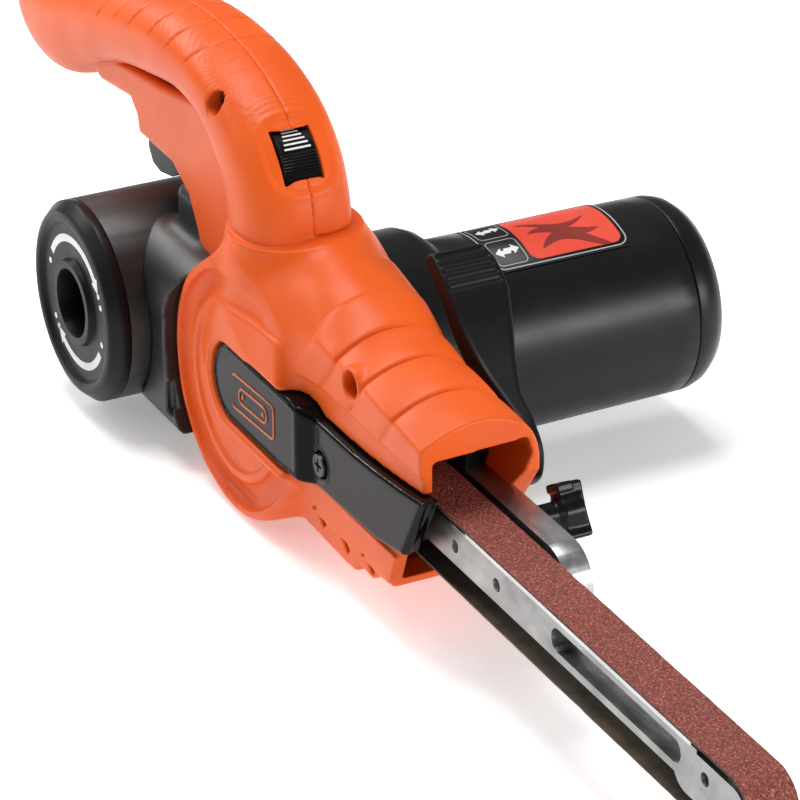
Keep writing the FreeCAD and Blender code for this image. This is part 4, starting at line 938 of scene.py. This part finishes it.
def small_pieces():
    """The moulded pieces, each with its sampling box and step in working millimetres."""
    fine = 0.4
    field_piece("shaped_duct", (-64, -24, -28), (-10, 18, 40), fine * 1.5, duct_shape,
                DUCT_BLACK, "housing", "dust_duct")
    field_piece("shaped_cover", (-17, -20.4, -17), (107, -8.5, 17.5), fine * 0.8, cover_shape,
                GLOSS_BLACK, "belt_cover", "belt_cover")
    field_piece("cover_mark", (3, -19.2, -8), (32, -17.8, 8), 0.16, badge_shape,
                PRINT_ORANGE, "belt_cover", "cover_badge")
    field_piece("shaped_knob", (90, 16, -10), (110, 36, 10), fine * 0.6, knob_shape,
                SATIN_BLACK, "tracking_knob", "tracking_knob")
    field_piece("shaped_lever", (32, 21, 0), (98, 43, 52), fine, lever_shape,
                BLACK, "tension_lever", "tension_lever")


# ---- Sanding belt: coated cloth with a grit face and a woven back ----
BELT_X0, BELT_X1 = 42.0, 240.0
BELT_INNER, BELT_OUTER = 9.02, 9.78
BELT_HALF = 6.5
BELT_NEAR_EDGE = [(-BELT_HALF, BELT_INNER), (-BELT_HALF, BELT_OUTER - 0.16),
                  (-BELT_HALF + 0.12, BELT_OUTER)]
BELT_FACE = [(y, BELT_OUTER) for y in (-3.2, 0.0, 3.2)]
BELT_SECTION = BELT_NEAR_EDGE + BELT_FACE + [(-y, r) for y, r in reversed(BELT_NEAR_EDGE)]
BELT_RUN_STEPS, BELT_TURN_STEPS = 66, 36
FRAY = 0.05


def belt_path():
    """Points of the belt's loop, as X and the outward direction at each."""
    path = []
    for start, end, side in ((BELT_X0, BELT_X1, 1.0), (BELT_X1, BELT_X0, -1.0)):
        for i in range(BELT_RUN_STEPS):
            path.append((start + (end - start) * i / BELT_RUN_STEPS, 0.0, side))
        for i in range(BELT_TURN_STEPS):
            a = side * math.pi / 2 - math.pi * i / BELT_TURN_STEPS
            path.append((end, math.cos(a), math.sin(a)))
    return path


def sanding_belt():
    """Loop of coated cloth: grit on its face and slightly frayed edges."""
    path = belt_path()
    width = len(BELT_SECTION)
    points = []
    for cx, nx, nz in path:
        fray = FRAY * RNG.standard_normal(2)
        for k, (y, r) in enumerate(BELT_SECTION):
            edge = fray[0] if k < 3 else fray[1] if k >= width - 3 else 0.0
            points.append((cx + nx * r, y - abs(edge) * np.sign(y), nz * r))
    faces = [(a, d, c, b) for a, b, c, d in ring_faces(len(path), width)]
    mesh = mesh_from("belt_mesh", points, faces)
    obj = add_object("coated_belt", mesh, [GRIT, BACKING], "arm")
    kinds = [0 if 1 <= k <= width - 3 else 1 for k in range(width)] * len(path)
    mesh.polygons.foreach_set("material_index", kinds)
    smooth_by_angle(obj)
    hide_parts("sanding_belt")


# ---- Printed graphics: thin raised films, all plain signs ----
FILM_THICK = 0.06
CORNER_STEPS = 6


def film(name, rings, place, material, body, pitch=0.0):
    """Thin film over a surface: each ring is a list of (outer, inner) pairs or one flat outline.

    place() turns a flat (u, v) point into working mm; pitch is the spacing of the cuts across u
    that let the film follow a round surface.
    """
    bm = bmesh.new()
    for ring in rings:
        if isinstance(ring[0][0], tuple):
            pairs = [[bm.verts.new((u, v, 0.0)) for u, v in pair] for pair in ring]
            for one, two in zip(pairs, pairs[1:] + pairs[:1]):
                bm.faces.new((one[0], two[0], two[1], one[1]))
        else:
            bm.faces.new([bm.verts.new((u, v, 0.0)) for u, v in ring])
    if pitch:
        lowest = min(v.co.x for v in bm.verts)
        highest = max(v.co.x for v in bm.verts)
        for cut in np.arange(lowest + pitch, highest, pitch):
            whole = bm.verts[:] + bm.edges[:] + bm.faces[:]
            bmesh.ops.bisect_plane(bm, geom=whole, plane_co=(cut, 0, 0), plane_no=(1, 0, 0))
    for vert in bm.verts:
        vert.co = at(*place(vert.co.x, vert.co.y))
    mesh = bpy.data.meshes.new(name)
    bm.to_mesh(mesh)
    bm.free()
    obj = add_object(name, mesh, [material], body)
    thick = obj.modifiers.new("film", "SOLIDIFY")
    thick.thickness = FILM_THICK * MM
    thick.offset = 0.0


def circle_point(centre_u, centre_v, radius, degrees):
    a = math.radians(degrees)
    return (centre_u + radius * math.cos(a), centre_v + radius * math.sin(a))


def round_rect(u0, u1, v0, v1, r):
    """Rectangle with rounded corners, as one outline."""
    corners = ((u1 - r, v1 - r, 0), (u0 + r, v1 - r, 90), (u0 + r, v0 + r, 180),
               (u1 - r, v0 + r, 270))
    return [circle_point(cu, cv, r, start + 90 * i / CORNER_STEPS)
            for cu, cv, start in corners for i in range(CORNER_STEPS + 1)]


def frame_ring(u0, u1, v0, v1, r, line):
    """Pairs of outer and inner points round a frame with rounded corners."""
    outer = round_rect(u0, u1, v0, v1, r)
    inner = round_rect(u0 + line, u1 - line, v0 + line, v1 - line, max(r - line, 0.1))
    return list(zip(outer, inner))


LABEL_R = 28.7
DEG = LABEL_R * math.pi / 180.0
LABEL_LOW, LABEL_HIGH = 61.0 * DEG, 111.0 * DEG
LABEL_MARGIN = 1.3
PRINT_HEIGHT = 0.07
SWEEPS = ((4.5, 5.4, 3.4), (10.0, 4.4, 2.2), (15.0, 3.0, 3.0))
SWEEP_STEPS = 14
ARROW = [(-1.0, -0.32), (0.1, -0.32), (0.1, -0.85), (1.0, 0.0), (0.1, 0.85), (0.1, 0.32),
         (-1.0, 0.32)]
ARROW_SIZE = 2.3


def arrow(cu, cv, turn):
    c, s = math.cos(turn), math.sin(turn)
    return [(cu + ARROW_SIZE * (a * c - b * s), cv + ARROW_SIZE * (a * s + b * c))
            for a, b in ARROW]


def motor_film(name, rings, height, material):
    """Film on the motor: u is the arc length round it and v is Y; height is above the label."""
    r = LABEL_R + height

    def place(u, v):
        return (r * math.cos(u / LABEL_R), v, r * math.sin(u / LABEL_R))
    film(name, rings, place, material, "housing", 1.0)


def sweep_outline(index, start, size, bend):
    """One of the label's abstract curved strokes: broad in the middle, with pointed ends."""
    upper, lower = [], []
    for i in range(SWEEP_STEPS + 1):
        t = i / SWEEP_STEPS
        v = 72.0 + 20.0 * t - index
        u = LABEL_LOW + start + bend * math.sin(1.4 * math.pi * t + index)
        swell = math.sin(math.pi * t) ** 0.7
        upper.append((u + size * 0.5 * swell, v))
        lower.append((u - size * 0.3 * swell - 0.05, v))
    return upper + lower[::-1]


def motor_graphics():
    """The motor's label: a red panel with strokes, and two boxes with double arrows."""
    low, high = LABEL_LOW + LABEL_MARGIN, LABEL_HIGH - LABEL_MARGIN
    motor_film("label_panel", [round_rect(low, high, 67.4, 95.6, 2.8)], PRINT_HEIGHT, LABEL_RED)
    for index, sweep in enumerate(SWEEPS):
        motor_film(f"label_sweep_{index}", [sweep_outline(index, *sweep)], 0.14 + 0.01 * index,
                   PRINT_RED)
    border = frame_ring(LABEL_LOW, LABEL_HIGH, 55.6, 97.0, 3.2, 0.4)
    motor_film("label_border", [border], PRINT_HEIGHT, PRINT_GREY)
    middle = (LABEL_LOW + LABEL_HIGH) / 2
    for index, (u0, u1) in enumerate(((low, middle - 0.7), (middle + 0.7, high))):
        box = frame_ring(u0, u1, 57.0, 66.4, 1.6, 0.3)
        motor_film(f"label_box_{index}", [box], PRINT_HEIGHT, PRINT_GREY)
        centre_u = (u0 + u1) / 2
        arrows = [arrow(centre_u - 0.4, 60.4, -math.pi / 2),
                  arrow(centre_u + 0.4, 63.4, math.pi / 2)]
        motor_film(f"label_arrows_{index}", arrows, 0.1, PRINT_WHITE)


CAP_FACE_Y = -31.46
CAP_ARROW_R0, CAP_ARROW_R1 = 17.5, 19.7
CAP_ARROWS = ((150.0, 42.0), (-30.0, -122.0))
CAP_HEAD = -13.0
CAP_ARROW_STEPS = 22
CAP_DOTS = (28.0, 18.0, 162.0, -135.0, -145.0, -18.0)
CAP_DOT_R, CAP_DOT_STEPS = 0.9, 12


def ring_arrow(start, end):
    """A curved arrow in the plane of the canister's cap, angles in degrees."""
    mid = (CAP_ARROW_R0 + CAP_ARROW_R1) / 2
    spread = (CAP_ARROW_R1 - CAP_ARROW_R0) * 1.05
    angles = [start + (end - start) * i / CAP_ARROW_STEPS for i in range(CAP_ARROW_STEPS + 1)]
    outer = [circle_point(0, 0, CAP_ARROW_R1, a) for a in angles]
    inner = [circle_point(0, 0, CAP_ARROW_R0, a) for a in angles]
    head = [circle_point(0, 0, mid + spread, end), circle_point(0, 0, mid, end + CAP_HEAD),
            circle_point(0, 0, mid - spread, end)]
    return outer + head + inner[::-1]


def cap_graphics():
    """Two curved arrows on the canister's cap, the sign for a whirling flow, and a few dots."""
    def place(u, v):
        return (CAN_X + u, CAP_FACE_Y, CAN_Z + v)
    film("cap_arrows", [ring_arrow(*ends) for ends in CAP_ARROWS], place, PRINT_WHITE,
         "canister")
    middle_r = (CAP_ARROW_R0 + CAP_ARROW_R1) / 2
    dots = [[circle_point(*circle_point(0, 0, middle_r, a), CAP_DOT_R, 360 * i / CAP_DOT_STEPS)
             for i in range(CAP_DOT_STEPS)] for a in CAP_DOTS]
    film("cap_dots", dots, place, PRINT_WHITE, "canister")


# ---- Nodes that keep their CAD mesh ----
NODE_MATERIAL = {
    "motor_label": MOTOR_BLACK, "motor_housing": MOTOR_BLACK, "motor_end_cap": MOTOR_BLACK,
    "canister_body": DUCT_BLACK, "canister_end_cap": BLACK, "gearcase": BLACK,
    "arm_carrier": PLATED, "arm_body": ALUMINIUM,
}
# Edge radius, in millimetres, of the nodes that have softer edges than the rest.
SOFT_EDGES = {"canister_body": 0.6, "gearcase": 0.8, "arm_carrier": 0.6, "motor_end_cap": 0.4}
CRISP_EDGE = 0.2


def dress_nodes():
    """Materials and rounded edges for the CAD's own meshes."""
    slots = {part["node"]: part["material_slot"] for part in frame["record"]["subparts"]}
    for name, obj in NODES.items():
        obj.data.materials.clear()
        obj.data.materials.append(NODE_MATERIAL.get(name, SLOT_MATERIAL[slots[name]]))
        refine(obj, SOFT_EDGES.get(name, CRISP_EDGE), 3 if name in SOFT_EDGES else 2)


# ---- Floor, lights and camera ----
CAMERA_PLACE = (924.8, -440.1, 520.3)
CAMERA_RIGHT = Vector((0.45557, 0.89020, 0.0))
CAMERA_UP = Vector((-0.40764, 0.20862, 0.88900))
CAMERA_VIEW = Vector((-0.79139, 0.40500, -0.45792))
LENS = 191.052
SENSOR = 36.0
FLOOR_HALF = 6.0
FLOOR_GLOW = 0.30
WORLD_LIGHT = 0.24
# name, place, target, size, power
LIGHTS = [
    ("top_box", (-0.35, -0.10, 1.5), (0, 0, 0.0), (0.9, 0.7), 19.0),
    ("near_box", (-0.45, -1.20, 0.70), (0, 0, 0.05), (0.5, 0.4), 2.2),
    ("front_strip", (1.14, 0.62, 0.36), (0, 0.05, 0.05), (0.9, 0.30), 12.0),
    ("rim_strip", (-0.98, -0.40, 0.72), (0, 0, 0.05), (0.9, 0.14), 7.0),
]


def add_camera():
    """Camera at the photograph's angle."""
    data = bpy.data.cameras.new("photo_camera")
    data.sensor_width = SENSOR
    data.lens = LENS
    data.clip_start = 0.01
    data.clip_end = 20.0
    cam = bpy.data.objects.new("photo_camera", data)
    turn = Matrix((CAMERA_RIGHT, CAMERA_UP, -CAMERA_VIEW)).transposed().to_4x4()
    cam.matrix_world = Matrix.Translation(at(*CAMERA_PLACE)) @ turn
    bpy.context.collection.objects.link(cam)
    bpy.context.scene.camera = cam
    bpy.context.scene.view_settings.view_transform = "Standard"


def area_light(name, place, target, size, power):
    data = bpy.data.lights.new(name, "AREA")
    data.shape = "RECTANGLE"
    data.size, data.size_y = size
    data.energy = power
    obj = bpy.data.objects.new(name, data)
    obj.location = Vector(place)
    toward = Vector(target) - Vector(place)
    obj.rotation_euler = toward.to_track_quat("-Z", "Y").to_euler()
    bpy.context.collection.objects.link(obj)


def floor_material():
    s = Shader("pale_floor")
    s.feed("Base Color",
           s.ramp(s.noise(3.0, 3.0), [(0.3, (0.94, 0.94, 0.94)), (0.7, (0.97, 0.97, 0.97))]))
    s.feed("Roughness", s.spread(s.noise(40.0), 0.85, 0.95))
    s.set(Emission_Strength=FLOOR_GLOW, Emission_Color=(1, 1, 1, 1))
    return s.mat


def add_stage():
    """Plain pale floor, even world light and soft studio lights."""
    h = FLOOR_HALF
    mesh = bpy.data.meshes.new("floor")
    mesh.from_pydata([(-h, -h, 0), (h, -h, 0), (h, h, 0), (-h, h, 0)], [], [(0, 1, 2, 3)])
    mesh.materials.append(floor_material())
    floor = bpy.data.objects.new("floor", mesh)
    bpy.context.collection.objects.link(floor)
    world = bpy.data.worlds.new("studio")
    world.use_nodes = True
    background = world.node_tree.nodes["Background"]
    background.inputs["Color"].default_value = (1, 1, 1, 1)
    background.inputs["Strength"].default_value = WORLD_LIGHT
    bpy.context.scene.world = world
    for light in LIGHTS:
        area_light(*light)


housing()
small_pieces()
speed_wheel()
sanding_belt()
motor_graphics()
cap_graphics()
dress_nodes()
add_stage()
add_camera()
